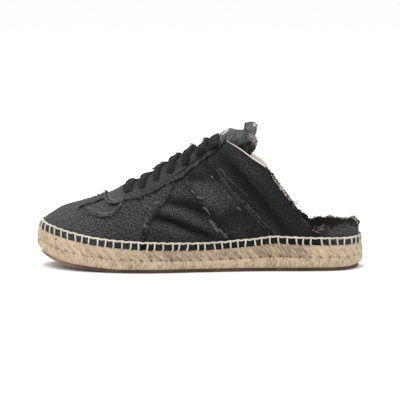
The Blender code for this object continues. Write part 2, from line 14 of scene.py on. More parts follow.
import bpy
import numpy as np
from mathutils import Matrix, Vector

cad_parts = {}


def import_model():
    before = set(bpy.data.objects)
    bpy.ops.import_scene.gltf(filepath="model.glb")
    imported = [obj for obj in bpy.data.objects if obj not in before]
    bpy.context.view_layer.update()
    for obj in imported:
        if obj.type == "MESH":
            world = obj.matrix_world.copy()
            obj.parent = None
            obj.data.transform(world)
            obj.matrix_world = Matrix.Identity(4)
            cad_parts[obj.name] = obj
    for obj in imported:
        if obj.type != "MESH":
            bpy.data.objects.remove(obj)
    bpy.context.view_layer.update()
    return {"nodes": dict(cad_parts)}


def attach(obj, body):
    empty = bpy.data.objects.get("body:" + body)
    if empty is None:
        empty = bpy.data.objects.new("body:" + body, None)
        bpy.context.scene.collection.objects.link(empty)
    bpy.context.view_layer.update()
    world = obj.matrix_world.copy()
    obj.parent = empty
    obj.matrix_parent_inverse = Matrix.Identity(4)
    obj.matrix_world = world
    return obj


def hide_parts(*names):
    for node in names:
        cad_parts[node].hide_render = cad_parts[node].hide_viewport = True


log = logging.getLogger("shoe")

MM = 0.001

# Rise of a place in the side view for each metre that it lies farther back
SEEN_SLOPE = 0.1137

Array = np.ndarray


# Curves and small maths


class Table:
    """Monotone cubic through rows of a share followed by one or more values."""

    def __init__(self, *rows: Sequence[float]) -> None:
        """Keep the rows and work out the slope at each.

        Args:
            rows: A share and its values, in rising order of the share.
        """
        data = np.array(rows, float)
        self.shares, self.values = data[:, 0], data[:, 1:]
        slopes = np.diff(self.values, axis=0) / np.diff(self.shares)[:, None]
        before, after = slopes[:-1], slopes[1:]
        product = before * after
        total = np.where(product > 0, before + after, 1.0)
        inner = np.where(product > 0, 2 * product / total, 0.0)
        self.tangents = np.vstack([slopes[:1], inner, slopes[-1:]])

    def at(self, share: Array, column: int = 0) -> Array:
        """Value of a column.

        Args:
            share: Where to read the table.
            column: Which value of the rows.

        Returns:
            The values, in the shape of share.
        """
        s = np.clip(share, self.shares[0], self.shares[-1])
        k = np.clip(np.searchsorted(self.shares, s, side="right") - 1, 0, len(self.shares) - 2)
        step = self.shares[k + 1] - self.shares[k]
        t = (s - self.shares[k]) / step
        low, high = self.values[k, column], self.values[k + 1, column]
        rise, fall = self.tangents[k, column], self.tangents[k + 1, column]
        return (
            low * (1 + 2 * t) * (1 - t) ** 2
            + high * t * t * (3 - 2 * t)
            + step * (rise * t * (1 - t) ** 2 - fall * t * t * (1 - t))
        )


def ease(start: float, end: float, value: Array) -> Array:
    """Smooth step."""
    s = np.clip((np.asarray(value, float) - start) / (end - start), 0, 1)
    return s * s * (3 - 2 * s)


def bell(away: Array, width: float) -> Array:
    """Bell curve, 1 in the middle and small beyond its width."""
    return np.exp(-((away / width) ** 2))


def fade(away: Array, reach: float) -> Array:
    """Falls from 1 at an edge to little beyond its reach."""
    return np.exp(-away / reach)


def hashed(cell: Array, seed: int) -> Array:
    """Even noise of whole cells."""
    primes = np.array([73856093, 19349663, 83492791], np.int64)[: cell.shape[-1]]
    mixed = (cell.astype(np.int64) * primes).sum(-1) + seed * 2654435761
    mixed = (mixed ^ (mixed >> 13)) * 1274126177 & 0x7FFFFFFF
    mixed = (mixed ^ (mixed >> 15)) * 2246822519 & 0x7FFFFFFF
    return mixed / 0x3FFFFFFF - 1


def noise(points: Array, scale: float, seed: int = 0) -> Array:
    """Smooth noise in space.

    Args:
        points: Places, with their axes last.
        scale: Size of its lumps.
        seed: Which noise.

    Returns:
        One value from -1 to 1 for each place.
    """
    at = np.asarray(points, float) / scale
    low = np.floor(at)
    part = at - low
    part = part * part * (3 - 2 * part)
    total = np.zeros(at.shape[:-1])
    axes = at.shape[-1]
    for corner in range(2**axes):
        bits = np.array([(corner >> axis) & 1 for axis in range(axes)])
        weight = np.prod(np.where(bits, part, 1 - part), axis=-1)
        total += weight * hashed(low + bits, seed)
    return total


def unit(vectors: Array) -> Array:
    """Vectors brought to length 1."""
    return vectors / np.maximum(np.linalg.norm(vectors, axis=-1, keepdims=True), 1e-12)


def on_lateral(points: Array) -> Array:
    """Places mirrored onto the lateral side."""
    return np.stack([points[..., 0], -np.abs(points[..., 1]), points[..., 2]], -1)


def rounded(points: Array, steps: int = 7) -> Array:
    """Catmull-Rom curve through points.

    Args:
        points: Places in order.
        steps: Points made for each stretch between two places.

    Returns:
        The points of the curve.
    """
    padded = np.vstack([2 * points[0] - points[1], points, 2 * points[-1] - points[-2]])
    s = np.linspace(0, 1, steps, endpoint=False)[:, None]
    course = []
    for k in range(len(points) - 1):
        p0, p1, p2, p3 = padded[k : k + 4]
        course.append(
            0.5 * (2 * p1 + (p2 - p0) * s + (2 * p0 - 5 * p1 + 4 * p2 - p3) * s**2
                   + (3 * p1 - p0 - 3 * p2 + p3) * s**3)
        )
    return np.vstack([*course, points[-1:]])


def seen(points: Array) -> tuple[Array, Array]:
    """Side view of places: x, and the height as a viewer a little above the floor sees it."""
    return points[..., 0] / MM, (points[..., 2] + SEEN_SLOPE * points[..., 1]) / MM


# The last


class Side(Enum):
    """The two sides of the shoe, as the sign of Y."""

    LATERAL = -1
    MEDIAL = 1


class Section(NamedTuple):
    """What shapes the last's section at a share of the length. Widths are from the centre line."""

    x: Array
    lean: Array
    base: Array
    height: Array
    centre: Array
    shift: Array
    lateral: Array
    medial: Array
    across: Array
    upward: Array


@dataclass(frozen=True)
class Last:
    """The form that every piece of the upper follows. Sizes in metres, shares of the length."""

    length: float = 0.285
    ball_width: float = 0.103
    heel_width: float = 0.074
    sole_depth: float = 0.0252
    toe_spring: float = 0.014
    instep: float = 0.128
    collar: float = 0.112
    heel_rim: float = 0.039
    feather: float = 0.0032
    toe_lean: float = 0.0115
    lean_length: float = 0.35
    lean_power: float = 2.2
    tongue_width: float = 0.050
    throat_gap: float = 0.027
    fit: float = 0.0003
    round_power: float = 2.2
    waist_start: float = 0.35
    waist_end: float = 0.75
    toe_round: float = 0.16
    heel_round: float = 0.12
    throat_front: float = 0.250
    throat_round: float = 0.025
    corner: float = 0.577
    stay_front: float = 0.198
    stay_round: float = 0.045
    window_front: float = 0.098
    stem_end: float = 0.188
    first_row: float = 0.277
    last_row: float = 0.545
    eyelet_place: float = 0.46
    rows: int = 7
    low_collar: float = 0.35
    plan_table: Table = Table(
        (0.00, 0.080, 0.360, 0.290), (0.08, 0.060, 0.400, 0.355), (0.14, 0.040, 0.435, 0.410),
        (0.25, 0.005, 0.485, 0.480), (0.33, 0.000, 0.495, 0.455), (0.43, 0.000, 0.480, 0.390),
        (0.52, 0.000, 0.475, 0.375), (0.64, 0.000, 0.490, 0.410), (0.78, 0.000, 0.505, 0.475),
        (0.90, 0.005, 0.490, 0.490), (1.00, 0.010, 0.460, 0.460),
    )
    side_table: Table = Table(
        (0.00, 1.00, 0.80), (0.08, 0.38, 0.92), (0.14, 0.19, 0.89), (0.20, 0.08, 0.86),
        (0.26, 0.00, 0.84), (0.33, 0.00, 0.79), (0.50, 0.00, 0.755), (0.66, 0.00, 0.87),
        (0.73, 0.00, 0.95), (0.80, 0.00, 0.90), (0.94, 0.00, 0.867), (1.00, 0.15, 0.79),
    )
    ridge_table: Table = Table(
        (0.05, 0.358, 0.00), (0.08, 0.400, 0.00), (0.14, 0.438, 0.01), (0.21, 0.483, 0.03),
        (0.27, 0.545, 0.05), (0.33, 0.600, 0.06), (0.40, 0.705, 0.06), (0.47, 0.800, 0.06),
        (0.54, 0.880, 0.05), (0.59, 0.945, 0.04), (0.645, 1.000, 0.03), (0.70, 0.985, 0.02),
        (0.85, 0.900, 0.00), (1.00, 0.860, 0.00),
    )
    round_table: Table = Table(
        (0.00, 0.80, 0.85), (0.15, 0.80, 0.90), (0.28, 0.90, 0.95), (0.40, 1.00, 0.95),
        (0.60, 1.05, 0.92), (0.70, 1.00, 0.92), (0.82, 0.80, 0.90), (1.00, 0.70, 0.90),
    )
    throat_table: Table = Table((0.250, 0.50), (0.40, 0.72), (0.50, 0.90), (0.577, 1.00))
    collar_table: Table = Table(
        (0.577, 1.000), (0.625, 0.930), (0.665, 0.858), (0.705, 0.790), (0.722, 0.720),
        (0.755, 0.610), (0.780, 0.525), (0.812, 0.420), (0.835, 0.362), (0.855, 0.335),
        (0.885, 0.345), (0.930, 0.350), (1.000, 0.348),
    )
    stay_table: Table = Table(
        (0.198, 0.56), (0.26, 0.58), (0.34, 0.55), (0.42, 0.55), (0.50, 0.62), (0.577, 0.72)
    )
    window_table: Table = Table((0.098, 0.63), (0.13, 0.72), (0.188, 0.80))
    overlay_table: Table = Table(
        (0.098, 0.63), (0.14, 0.485), (0.19, 0.40), (0.22, 0.39), (0.24, 0.43), (0.265, 0.555)
    )
    tongue_table: Table = Table((0.235, 0.62), (0.45, 0.82), (0.60, 1.00), (0.676, 0.90))

    def along(self, turn: Array) -> Array:
        """Share of the length at a turn, which is 0 at the toe and pi at the heel."""
        return (1 - np.cos(turn)) / 2

    def turn(self, along: Array) -> Array:
        """Turn round the shoe at a share of the length."""
        return np.arccos(1 - 2 * np.clip(along, 0, 1))

    def rounded(self, share: Array) -> Array:
        """Width factor of a rounded end."""
        s = np.clip(share, 0, 1)
        return (1 - (1 - s) ** self.round_power) ** (1 / self.round_power)

    def bottom(self, x: Array) -> Array:
        """Height of the outsole's lower face."""
        return self.toe_spring * self.side_table.at(x / self.length + 0.5, 0)

    def top(self, x: Array) -> Array:
        """Height of the jute's upper face."""
        return self.bottom(x) + self.sole_depth * self.side_table.at(x / self.length + 0.5, 1)

    def breadth(self, along: Array) -> Array:
        """Width of the last, narrowing from the ball to the heel."""
        narrowing = ease(self.waist_start, self.waist_end, along)
        return self.ball_width + (self.heel_width - self.ball_width) * narrowing

    def ends(self, along: Array) -> Array:
        """Width factor of the rounded toe and heel."""
        return self.rounded(along / self.toe_round) * self.rounded((1 - along) / self.heel_round)

    def plan(self, along: Array, inset: float) -> tuple[Array, Array, Array, Array]:
        """Outline of the sole.

        Args:
            along: Share of the length.
            inset: How far the outline is taken in.

        Returns:
            Place along X, centre line and the two half widths.
        """
        width, ends = self.breadth(along), self.ends(along)
        return (
            -self.length / 2 + inset + along * (self.length - 2 * inset),
            self.ball_width * self.plan_table.at(along, 0) - self.centre_shift(),
            (width * self.plan_table.at(along, 1) - inset) * ends,
            (width * self.plan_table.at(along, 2) - inset) * ends,
        )

    def centre_shift(self) -> float:
        """Shift across that puts the middle of the outline on y = 0."""
        along = np.linspace(0, 1, 401)
        width, ends = self.breadth(along), self.ends(along)
        centre = self.ball_width * self.plan_table.at(along, 0)
        medial = centre + width * self.plan_table.at(along, 2) * ends
        lateral = centre - width * self.plan_table.at(along, 1) * ends
        return float(medial.max() + lateral.min()) / 2

    def outline(self, turn: Array) -> Array:
        """Points of the sole's outline in plan."""
        x, centre, lateral, medial = self.plan(self.along(turn), 0.0)
        return np.stack([x, np.where(turn < 0, centre - lateral, centre + medial)], -1)

    def inset_outline(self, turn: Array, inset: Array) -> Array:
        """Points of the outline moved inwards, square to it."""
        step = 0.01
        ahead = self.outline(self.wrap(turn + step)) - self.outline(self.wrap(turn - step))
        inward = unit(np.stack([ahead[..., 1], -ahead[..., 0]], -1))
        return self.outline(turn) + np.asarray(inset)[..., None] * inward

    def even_turns(self, count: int) -> tuple[Array, float]:
        """Turns at even steps of arc."""
        fine = np.linspace(-math.pi, math.pi, 2881)
        steps = np.linalg.norm(np.diff(self.outline(fine), axis=0), axis=1)
        lengths = np.concatenate([[0], np.cumsum(steps)])
        marks = np.arange(count) / count * lengths[-1]
        return np.interp(marks, lengths, fine), float(lengths[-1])

    @staticmethod
    def wrap(turn: Array) -> Array:
        """Turn brought back to the range from -pi to pi."""
        return (turn + math.pi) % (2 * math.pi) - math.pi

    def section(self, along: Array) -> Section:
        """Section at a share of the length.

        Args:
            along: The share.

        Returns:
            Its measures.
        """
        x, centre, lateral, medial = self.plan(along, self.feather)
        lean = self.toe_lean * np.maximum(0, 1 - along / self.lean_length) ** 2
        ridge = (x + lean) / self.length + 0.5
        base = self.top(x) + self.fit
        height = self.instep * self.ridge_table.at(ridge, 0) - base
        shift = self.ball_width * self.ridge_table.at(ridge, 1) * ease(0, 0.06, along)
        across, upward = self.round_table.at(along, 0), self.round_table.at(along, 1)
        return Section(x, lean, base, height, centre, shift, lateral, medial, across, upward)

    def surface(self, turn: Array, girth: Array) -> Array:
        """Points of the upper's outer face.

        Args:
            turn: Turn round the shoe.
            girth: 0 at the sole and 1 at the ridge.

        Returns:
            The points.
        """
        part = self.section(self.along(turn))
        angle = math.pi / 2 * np.clip(girth, 0, 1)
        side = np.where(turn < 0, -part.lateral - part.shift, part.medial - part.shift)
        rise = np.maximum(0, np.sin(angle)) ** part.upward
        reach = np.maximum(0, np.cos(angle)) ** part.across
        x = part.x + part.lean * rise**self.lean_power
        y = part.centre + part.shift + side * reach
        return np.stack([x, y, part.base + part.height * rise], -1)

    def outward(self, turn: Array, girth: Array) -> Array:
        """Unit normals of the upper's outer face."""
        step = 0.006
        turn = np.where(girth > 1 - 1e-6, np.abs(turn), turn)
        at = np.clip(girth, step, 0.98)
        ahead = self.surface(self.wrap(turn + step), at) - self.surface(self.wrap(turn - step), at)
        up = self.surface(turn, at + step) - self.surface(turn, at - step)
        return unit(np.cross(up, ahead))

    def skin(self, turn: Array, girth: Array, lift: Array) -> Array:
        """Points at a lift over the upper's outer face."""
        turn, girth = np.broadcast_arrays(turn, girth)
        lift = np.asarray(lift)[..., None]
        return self.surface(turn, girth) + lift * self.outward(turn, girth)

    def gap_girth(self, along: Array, gap: Array) -> Array:
        """Girth at a distance from the ridge, measured across."""
        part = self.section(along)
        share = np.clip(gap / ((part.lateral + part.medial) / 2), 0, 1)
        return np.arccos(share ** (1 / part.across)) * 2 / math.pi

    def find(self, x: Array, v: Array) -> tuple[Array, Array]:
        """Turn and girth of lateral places given in millimetres of the side view."""
        turn = -self.turn(np.clip(x * MM / self.length + 0.5, 0.01, 0.99))
        steps = np.linspace(0, 1, 200)
        _, heights = seen(self.surface(turn[:, None], steps[None, :]))
        return turn, np.array([np.interp(height, row, steps) for height, row in zip(v, heights)])

    def height_girth(self, along: Array, height: Array) -> Array:
        """Girth at a height over the floor."""
        part = self.section(along)
        share = np.clip((height - part.base) / part.height, 0, 1)
        return np.arcsin(share ** (1 / part.upward)) * 2 / math.pi

    def collar_height(self, along: Array) -> Array:
        """Height of the collar's edge."""
        share = self.collar_table.at(along)
        blend = np.clip((share - self.low_collar) / (1 - self.low_collar), 0, 1)
        high = self.heel_rim + (self.collar - self.heel_rim) * blend
        return np.where(share < self.low_collar, self.heel_rim * share / self.low_collar, high)

    def throat_girth(self, along: Array) -> Array:
        """Girth of the throat's edge."""
        gap = self.throat_gap / 2 * self.throat_table.at(along)
        gap = gap * self.rounded((along - self.throat_front) / self.throat_round)
        return np.where(along <= self.throat_front, 1.0, self.gap_girth(along, gap))

    def top_girth(self, turn: Array) -> Array:
        """Girth of the upper's top edge: the ridge, then the throat, then the collar."""
        along = self.along(turn)
        rim = self.height_girth(along, self.collar_height(along))
        return np.where(along > self.corner, rim, self.throat_girth(np.minimum(along, self.corner)))

    def stay_girth(self, along: Array) -> Array:
        """Girth of the eyestay's lower edge."""
        edge = self.stay_table.at(along)
        return 1 - (1 - edge) * self.rounded((along - self.stay_front) / self.stay_round)

    def hole_girth(self, along: Array) -> Array:
        """Girth of the line of eyelets."""
        return self.stay_girth(along) + self.strip(along) * self.eyelet_place

    def strip(self, along: Array) -> Array:
        """Girth between the eyestay's two edges."""
        return self.throat_girth(along) - self.stay_girth(along)

    def girth_length(self, along: Array) -> Array:
        """Rough length of the section from the sole to the ridge."""
        part = self.section(along)
        return np.maximum(math.pi / 4 * (part.height + (part.lateral + part.medial) / 2), 1 * MM)


# Creases, marks and tones


@dataclass(frozen=True)
class Crease:
    """Soft trough or ridge along a line in the side view. All in millimetres."""

    line: tuple[tuple[float, float], ...]
    width: float
    depth: float
    sides: tuple[Side, ...] = (Side.LATERAL,)

    def at(self, x: Array, v: Array) -> Array:
        """Lift of the crease.

        Args:
            x: Place along the shoe.
            v: Seen height.

        Returns:
            Lift in millimetres, below zero in a trough.
        """
        marks = np.array(self.line)
        lengths = np.linalg.norm(np.diff(marks, axis=0), axis=1)
        starts = np.concatenate([[0], np.cumsum(lengths)])
        best = np.full(x.shape, 1e9)
        place = np.zeros(x.shape)
        for k, length in enumerate(lengths):
            step = (marks[k + 1] - marks[k]) / length
            t = np.clip((x - marks[k, 0]) * step[0] + (v - marks[k, 1]) * step[1], 0, length)
            away = np.hypot(x - marks[k, 0] - t * step[0], v - marks[k, 1] - t * step[1])
            place = np.where(away < best, starts[k] + t, place)
            best = np.minimum(best, away)
        share = place / starts[-1]
        taper = 0.35 + 0.65 * ease(0, 0.25, share) * (1 - ease(0.75, 1, share))
        return self.depth * taper * bell(best, self.width)


BOTH = (Side.LATERAL, Side.MEDIAL)
CREASES = (
    Crease(
        ((-45.0, 44.8), (-38.9, 43.1), (-25.3, 40.5), (-15.3, 36.0), (-5.2, 31.5), (7.3, 27.4), (16.4, 25.4)),
        3.8, -4.2, BOTH,
    ),
    Crease(((-28.0, 56.5), (-15.8, 53.7), (-5.2, 49.2), (7.0, 41.1)), 4.0, -2.8, BOTH),
    Crease(((-37.9, 49.8), (-22.8, 47.8), (-12.7, 43.8), (-2.7, 38.6), (4.9, 36.0)), 3.6, 2.6, BOTH),
    Crease(((-42.9, 34.5), (-22.8, 32.0), (-2.7, 25.8)), 4.4, 1.8, BOTH),
    Crease(((-24.0, 67.0), (-9.0, 63.0)), 4.5, 1.0, BOTH),
    Crease(((23.0, 94.8), (35.2, 81.2), (51.0, 61.9), (66.8, 42.5)), 4.2, -3.0, BOTH),
    Crease(((29.0, 99.0), (44.0, 83.0), (62.0, 66.9)), 5.5, 2.0, BOTH),
    Crease(((36.0, 62.0), (48.0, 50.0), (62.0, 38.0)), 3.6, -1.2, BOTH),
    Crease(((8.0, 70.0), (20.0, 55.0), (34.0, 40.0)), 6.0, 0.9, BOTH),
    Crease(((-88.0, 49.0), (-78.0, 44.0), (-62.0, 42.0)), 6.0, -0.6, BOTH),
    Crease(((-2.0, 73.0), (10.0, 66.0), (16.0, 58.0)), 3.5, -0.8, BOTH),
    Crease(
        ((6.0, 93.0), (13.0, 84.6), (26.5, 68.0), (36.0, 58.5), (51.0, 41.0), (62.0, 31.0)),
        1.6, -1.3, BOTH,
    ),
    Crease(
        ((9.5, 95.0), (17.0, 86.0), (30.5, 70.0), (40.0, 60.5), (55.0, 43.0), (66.0, 33.0)),
        2.0, 0.9, BOTH,
    ),
)


@dataclass(frozen=True)
class PaintedLightSpot:
    """Painted highlight, or painted shade where the amount is below 0, on cloth in the side view.
    Millimetres, amount as a share.
    """

    x: float
    v: float
    reach_x: float
    reach_v: float
    amount: float
    slant: float = 0.0

    def at(self, x: Array, v: Array) -> Array:
        """Amount of the spot."""
        across = (x - self.x) / self.reach_x
        up = (v - self.v - self.slant * (x - self.x)) / self.reach_v
        return self.amount * np.exp(-(across**2 + up**2))


class Relief:
    """Lift of the cloth over the last: creases, slack and small waves."""

    def __init__(self, last: Last) -> None:
        """Keep the last."""
        self.last = last

    def at(self, turn: Array, girth: Array) -> Array:
        """Lift at places of the last.

        Args:
            turn: Turn round the shoe.
            girth: Girth on the section.

        Returns:
            The lift in metres.
        """
        points = self.last.surface(turn, girth)
        x, v = seen(on_lateral(points))
        lateral = turn < 0
        total = np.zeros(x.shape)
        for crease in CREASES:
            shown = np.where(lateral, Side.LATERAL in crease.sides, Side.MEDIAL in crease.sides)
            strength = np.where(lateral, 1.0, 0.8)
            total += crease.at(x, v) * shown * strength
        total += 0.35 * noise(points, 17 * MM, 3) + 0.16 * noise(points, 6 * MM, 4)
        fade = ease(0.02, 0.16, girth) * (1 - 0.85 * ease(0.86, 1.0, girth))
        calm = ease(0.03, 0.25, self.last.along(turn))
        return total * fade * calm * MM


# Shaders


Input = Union["Value", float, tuple]


class Value:
    """Output of a shader node, with the usual operators."""

    def __init__(self, graph: "Graph", socket: bpy.types.NodeSocket) -> None:
        """Keep the graph and the socket."""
        self.graph, self.socket = graph, socket

    def __add__(self, other: Input) -> "Value":
        """Sum."""
        return self.graph.math("ADD", self, other)

    def __sub__(self, other: Input) -> "Value":
        """Difference."""
        return self.graph.math("SUBTRACT", self, other)

    def __rsub__(self, other: Input) -> "Value":
        """Difference from a number or colour."""
        return self.graph.math("SUBTRACT", other, self)

    def __mul__(self, other: Input) -> "Value":
        """Product."""
        return self.graph.math("MULTIPLY", self, other)

    __radd__ = __add__
    __rmul__ = __mul__

    def wave(self) -> "Value":
        """Sine of the value."""
        return self.graph.math("SINE", self, 0.0)

    def power(self, exponent: Input) -> "Value":
        """Value to a power."""
        return self.graph.math("POWER", self, exponent)

    def smooth(self, low: float, high: float) -> "Value":
        """Smooth step from 0 at low to 1 at high."""
        inputs = {"Value": self, "From Min": low, "From Max": high}
        return self.graph.node("ShaderNodeMapRange", inputs, interpolation_type="SMOOTHSTEP")

    def linear(self, low: float, high: float) -> "Value":
        """Straight ramp from 0 at low to 1 at high, held at both ends."""
        return self.graph.node("ShaderNodeMapRange", {"Value": self, "From Min": low, "From Max": high})

    def mix(self, start: Input, end: Input) -> "Value":
        """Colour between two others, by this value."""
        inputs = {"Factor": self, 6: start, 7: end}
        return self.graph.node("ShaderNodeMix", inputs, output=2, data_type="RGBA")


class Graph:
    """A material and its nodes."""

    def __init__(self, name: str) -> None:
        """Start an empty material."""
        self.material = bpy.data.materials.new(name)
        self.material.use_nodes = True
        self.tree = self.material.node_tree
        self.tree.nodes.clear()

    def node(self, kind: str, inputs: dict, output: Union[int, str] = 0, **options) -> Value:
        """Add a node.

        Args:
            kind: Type of the node.
            inputs: Values or constants by the socket's name or number.
            output: Which output to give back.
            options: Properties of the node.

        Returns:
            Its output.
        """
        made = self.tree.nodes.new(kind)
        for key, value in options.items():
            setattr(made, key, value)
        for key, value in inputs.items():
            if isinstance(value, Value):
                self.tree.links.new(value.socket, made.inputs[key])
            else:
                made.inputs[key].default_value = value
        return Value(self, made.outputs[output] if made.outputs else None)

    def math(self, kind: str, first: Input, second: Input) -> Value:
        """Result of a Math node."""
        return self.node("ShaderNodeMath", {0: first, 1: second}, operation=kind)

    def attribute(self, name: str) -> Value:
        """A float stored on the mesh."""
        return self.node("ShaderNodeAttribute", {}, "Fac", attribute_name=name)

    def place(self, source: str, scale: tuple[float, float, float]) -> Value:
        """Texture coordinates, scaled."""
        base = self.node("ShaderNodeTexCoord", {}, source)
        return self.node("ShaderNodeMapping", {"Vector": base, "Scale": scale}, vector_type="POINT")

    def noise(self, place: Value, scale: float, detail: float = 2.0, rough: float = 0.5) -> Value:
        """Noise texture from 0 to 1."""
        inputs = {"Vector": place, "Scale": scale, "Detail": detail, "Roughness": rough}
        return self.node("ShaderNodeTexNoise", inputs)

    def axis(self, place: Value, name: str) -> Value:
        """One axis of coordinates."""
        return self.node("ShaderNodeSeparateXYZ", {0: place}, name)

    def bump(self, height: Value, strength: float, distance: float,
             under: Optional[Value] = None) -> Value:
        """Bump from a height."""
        inputs = {"Height": height, "Strength": strength, "Distance": distance}
        if under is not None:
            inputs["Normal"] = under
        return self.node("ShaderNodeBump", inputs)

    def finish(self, colour: Input, rough: Input, normal: Optional[Value], **constants) -> bpy.types.Material:
        """Close the material with a Principled shader.

        Args:
            colour: Base colour.
            rough: Roughness.
            normal: Bumped normal, if any.
            constants: Other inputs, by name with underscores.

        Returns:
            The material.
        """
        inputs = {"Base Color": colour, "Roughness": rough}
        if normal is not None:
            inputs["Normal"] = normal
        inputs.update({key.replace("_", " "): value for key, value in constants.items()})
        shader = self.node("ShaderNodeBsdfPrincipled", inputs)
        self.node("ShaderNodeOutputMaterial", {"Surface": shader})
        return self.material


def grey(level: float, warm: float = 0.0) -> tuple[float, float, float, float]:
    """Linear colour of a nearly neutral cloth."""
    return (level * (1 + warm), level, level * (1 - warm), 1.0)


@dataclass(frozen=True)
class CanvasFinish:
    """Washed cotton twill. The mesh gives its tone, with painted light and shade in it, and its wear."""

    name: str
    dark: tuple[float, float, float, float]
    light: tuple[float, float, float, float]
    worn: tuple[float, float, float, float]
    weave: float = 0.75 * MM
    grain: float = 0.56
    blotch: float = 0.26
    relief: float = 0.8

    def build(self) -> bpy.types.Material:
        """Make the material."""
        g = Graph(self.name)
        cloth = g.place("UV", (1.0, 1.0, 1.0))
        body = g.place("Object", (1.0, 1.0, 1.0))
        across, up = g.axis(cloth, "X"), g.axis(cloth, "Y")
        turns = 2 * math.pi / self.weave
        ribs = ((across + up * 0.9) * turns).wave() * 0.5 + 0.5
        slubs = g.noise(g.place("UV", (900.0, 2600.0, 1.0)), 1.0, 2.0)
        threads = g.noise(g.place("UV", (2400.0, 800.0, 1.0)), 1.0, 2.0)
        fleck = g.noise(cloth, 860.0, 1.5, 0.5)
        washed = g.noise(body, 110.0, 4.0, 0.65)
        cloud = g.noise(body, 36.0, 2.0, 0.5)
        tone = g.attribute("tone")
        grain = (fleck - 0.5) * 5.0 + (slubs - 0.5) * 1.1 + (threads - 0.5) * 1.1 + (ribs - 0.5) * 0.25
        level = tone * (1 + grain * self.grain * 4.5) + grain * 0.045
        level = level + (washed - 0.5) * self.blotch + (cloud - 0.5) * 0.12
        base = level.linear(0.0, 1.0).mix(self.dark, self.light)
        frayed = g.attribute("wear") + (fleck - 0.5) * 0.8
        colour = frayed.smooth(0.35, 0.95).mix(base, self.worn)
        height = ribs * 0.35 + fleck * 0.5 + slubs * 0.3 + threads * 0.2
        normal = g.bump(height, self.relief, 0.65 * MM)
        normal = g.bump(washed, 0.35, 1.2 * MM, normal)
        sheen = {"Sheen_Weight": 0.06, "Sheen_Roughness": 0.6}
        return g.finish(colour, 0.95, normal, Specular_IOR_Level=0.12, **sheen)


@dataclass(frozen=True)
class JuteFinish:
    """Raw jute yarn. The mesh gives the painted shade of the hollows and each strand's tint."""

    name: str = "jute"
    # Painted shade colour of the hollows
    hollow_shade_colour: tuple[float, float, float, float] = (0.050, 0.031, 0.018, 1.0)
    tan: tuple[float, float, float, float] = (0.150, 0.105, 0.066, 1.0)
    pale: tuple[float, float, float, float] = (0.560, 0.440, 0.315, 1.0)

    def build(self) -> bpy.types.Material:
        """Make the material."""
        g = Graph(self.name)
        fibre = g.noise(g.place("UV", (950.0, 150.0, 1.0)), 1.0, 4.0, 0.7)
        fine = g.noise(g.place("UV", (2600.0, 420.0, 1.0)), 1.0, 2.0)
        cloud = g.noise(g.place("Object", (1.0, 1.0, 1.0)), 60.0, 2.0)
        speck = g.noise(g.place("Object", (1.0, 1.0, 1.0)), 210.0, 1.0)
        hollow_shade, shade = g.attribute("hollow_shade"), g.attribute("shade")
        level = (fibre - 0.5) * 3.0 + (fine - 0.5) * 0.9 + shade * 0.10 + (cloud - 0.5) * 0.5 + 0.68
        yarn = level.smooth(0.0, 1.0).mix(self.tan, self.pale)
        # Painted shade in the braid's hollows
        dark = (hollow_shade + (fibre - 0.5) * 0.9).smooth(0.35, 1.0)
        colour = dark.mix(yarn, self.hollow_shade_colour)
        stain = speck.smooth(0.76, 0.81) * 0.7
        colour = stain.mix(colour, (0.060, 0.036, 0.020, 1.0))
        normal = g.bump(fibre + fine * 0.5, 1.0, 0.7 * MM)
        return g.finish(colour, 0.95, normal, Specular_IOR_Level=0.15)


@dataclass(frozen=True)
class ThreadFinish:
    """Spun cotton thread or loose fibre."""

    name: str
    colour: tuple[float, float, float, float]
    shade: tuple[float, float, float, float]
    rough: float = 0.85

    def build(self) -> bpy.types.Material:
        """Make the material."""
        g = Graph(self.name)
        body = g.place("Object", (1.0, 1.0, 1.0))
        twist = g.noise(body, 1500.0, 2.0)
        dirt = g.noise(body, 90.0, 2.0)
        colour = (twist * 0.6 + dirt * 0.7 - 0.3).smooth(0.1, 0.9).mix(self.shade, self.colour)
        return g.finish(colour, self.rough, g.bump(twist, 0.5, 0.3 * MM), Specular_IOR_Level=0.3)


@dataclass(frozen=True)
class RubberFinish:
    """Brown sheet rubber, paler towards the toe."""

    name: str = "outsole_rubber_look"
    dark: tuple[float, float, float, float] = (0.027, 0.014, 0.008, 1.0)
    light: tuple[float, float, float, float] = (0.150, 0.084, 0.054, 1.0)
    toe_colour: tuple[float, float, float, float] = (0.300, 0.185, 0.140, 1.0)

    def build(self) -> bpy.types.Material:
        """Make the material."""
        g = Graph(self.name)
        body = g.place("Object", (1.0, 1.0, 1.0))
        cloud = g.noise(body, 70.0, 4.0, 0.6)
        pits = g.noise(body, 900.0, 3.0, 0.6)
        colour = (cloud * 1.2 + pits * 0.4 - 0.4).smooth(0.0, 1.0).mix(self.dark, self.light)
        # Paler towards the toe
        toe_share = g.axis(body, "X").linear(-0.085, -0.130) * (cloud * 1.4).smooth(0.3, 0.9)
        colour = (toe_share * 0.8).mix(colour, self.toe_colour)
        normal = g.bump(pits + cloud * 0.5, 0.6, 0.5 * MM)
        return g.finish(colour, cloud * 0.3 + 0.5, normal, Specular_IOR_Level=0.4)


# Building pieces


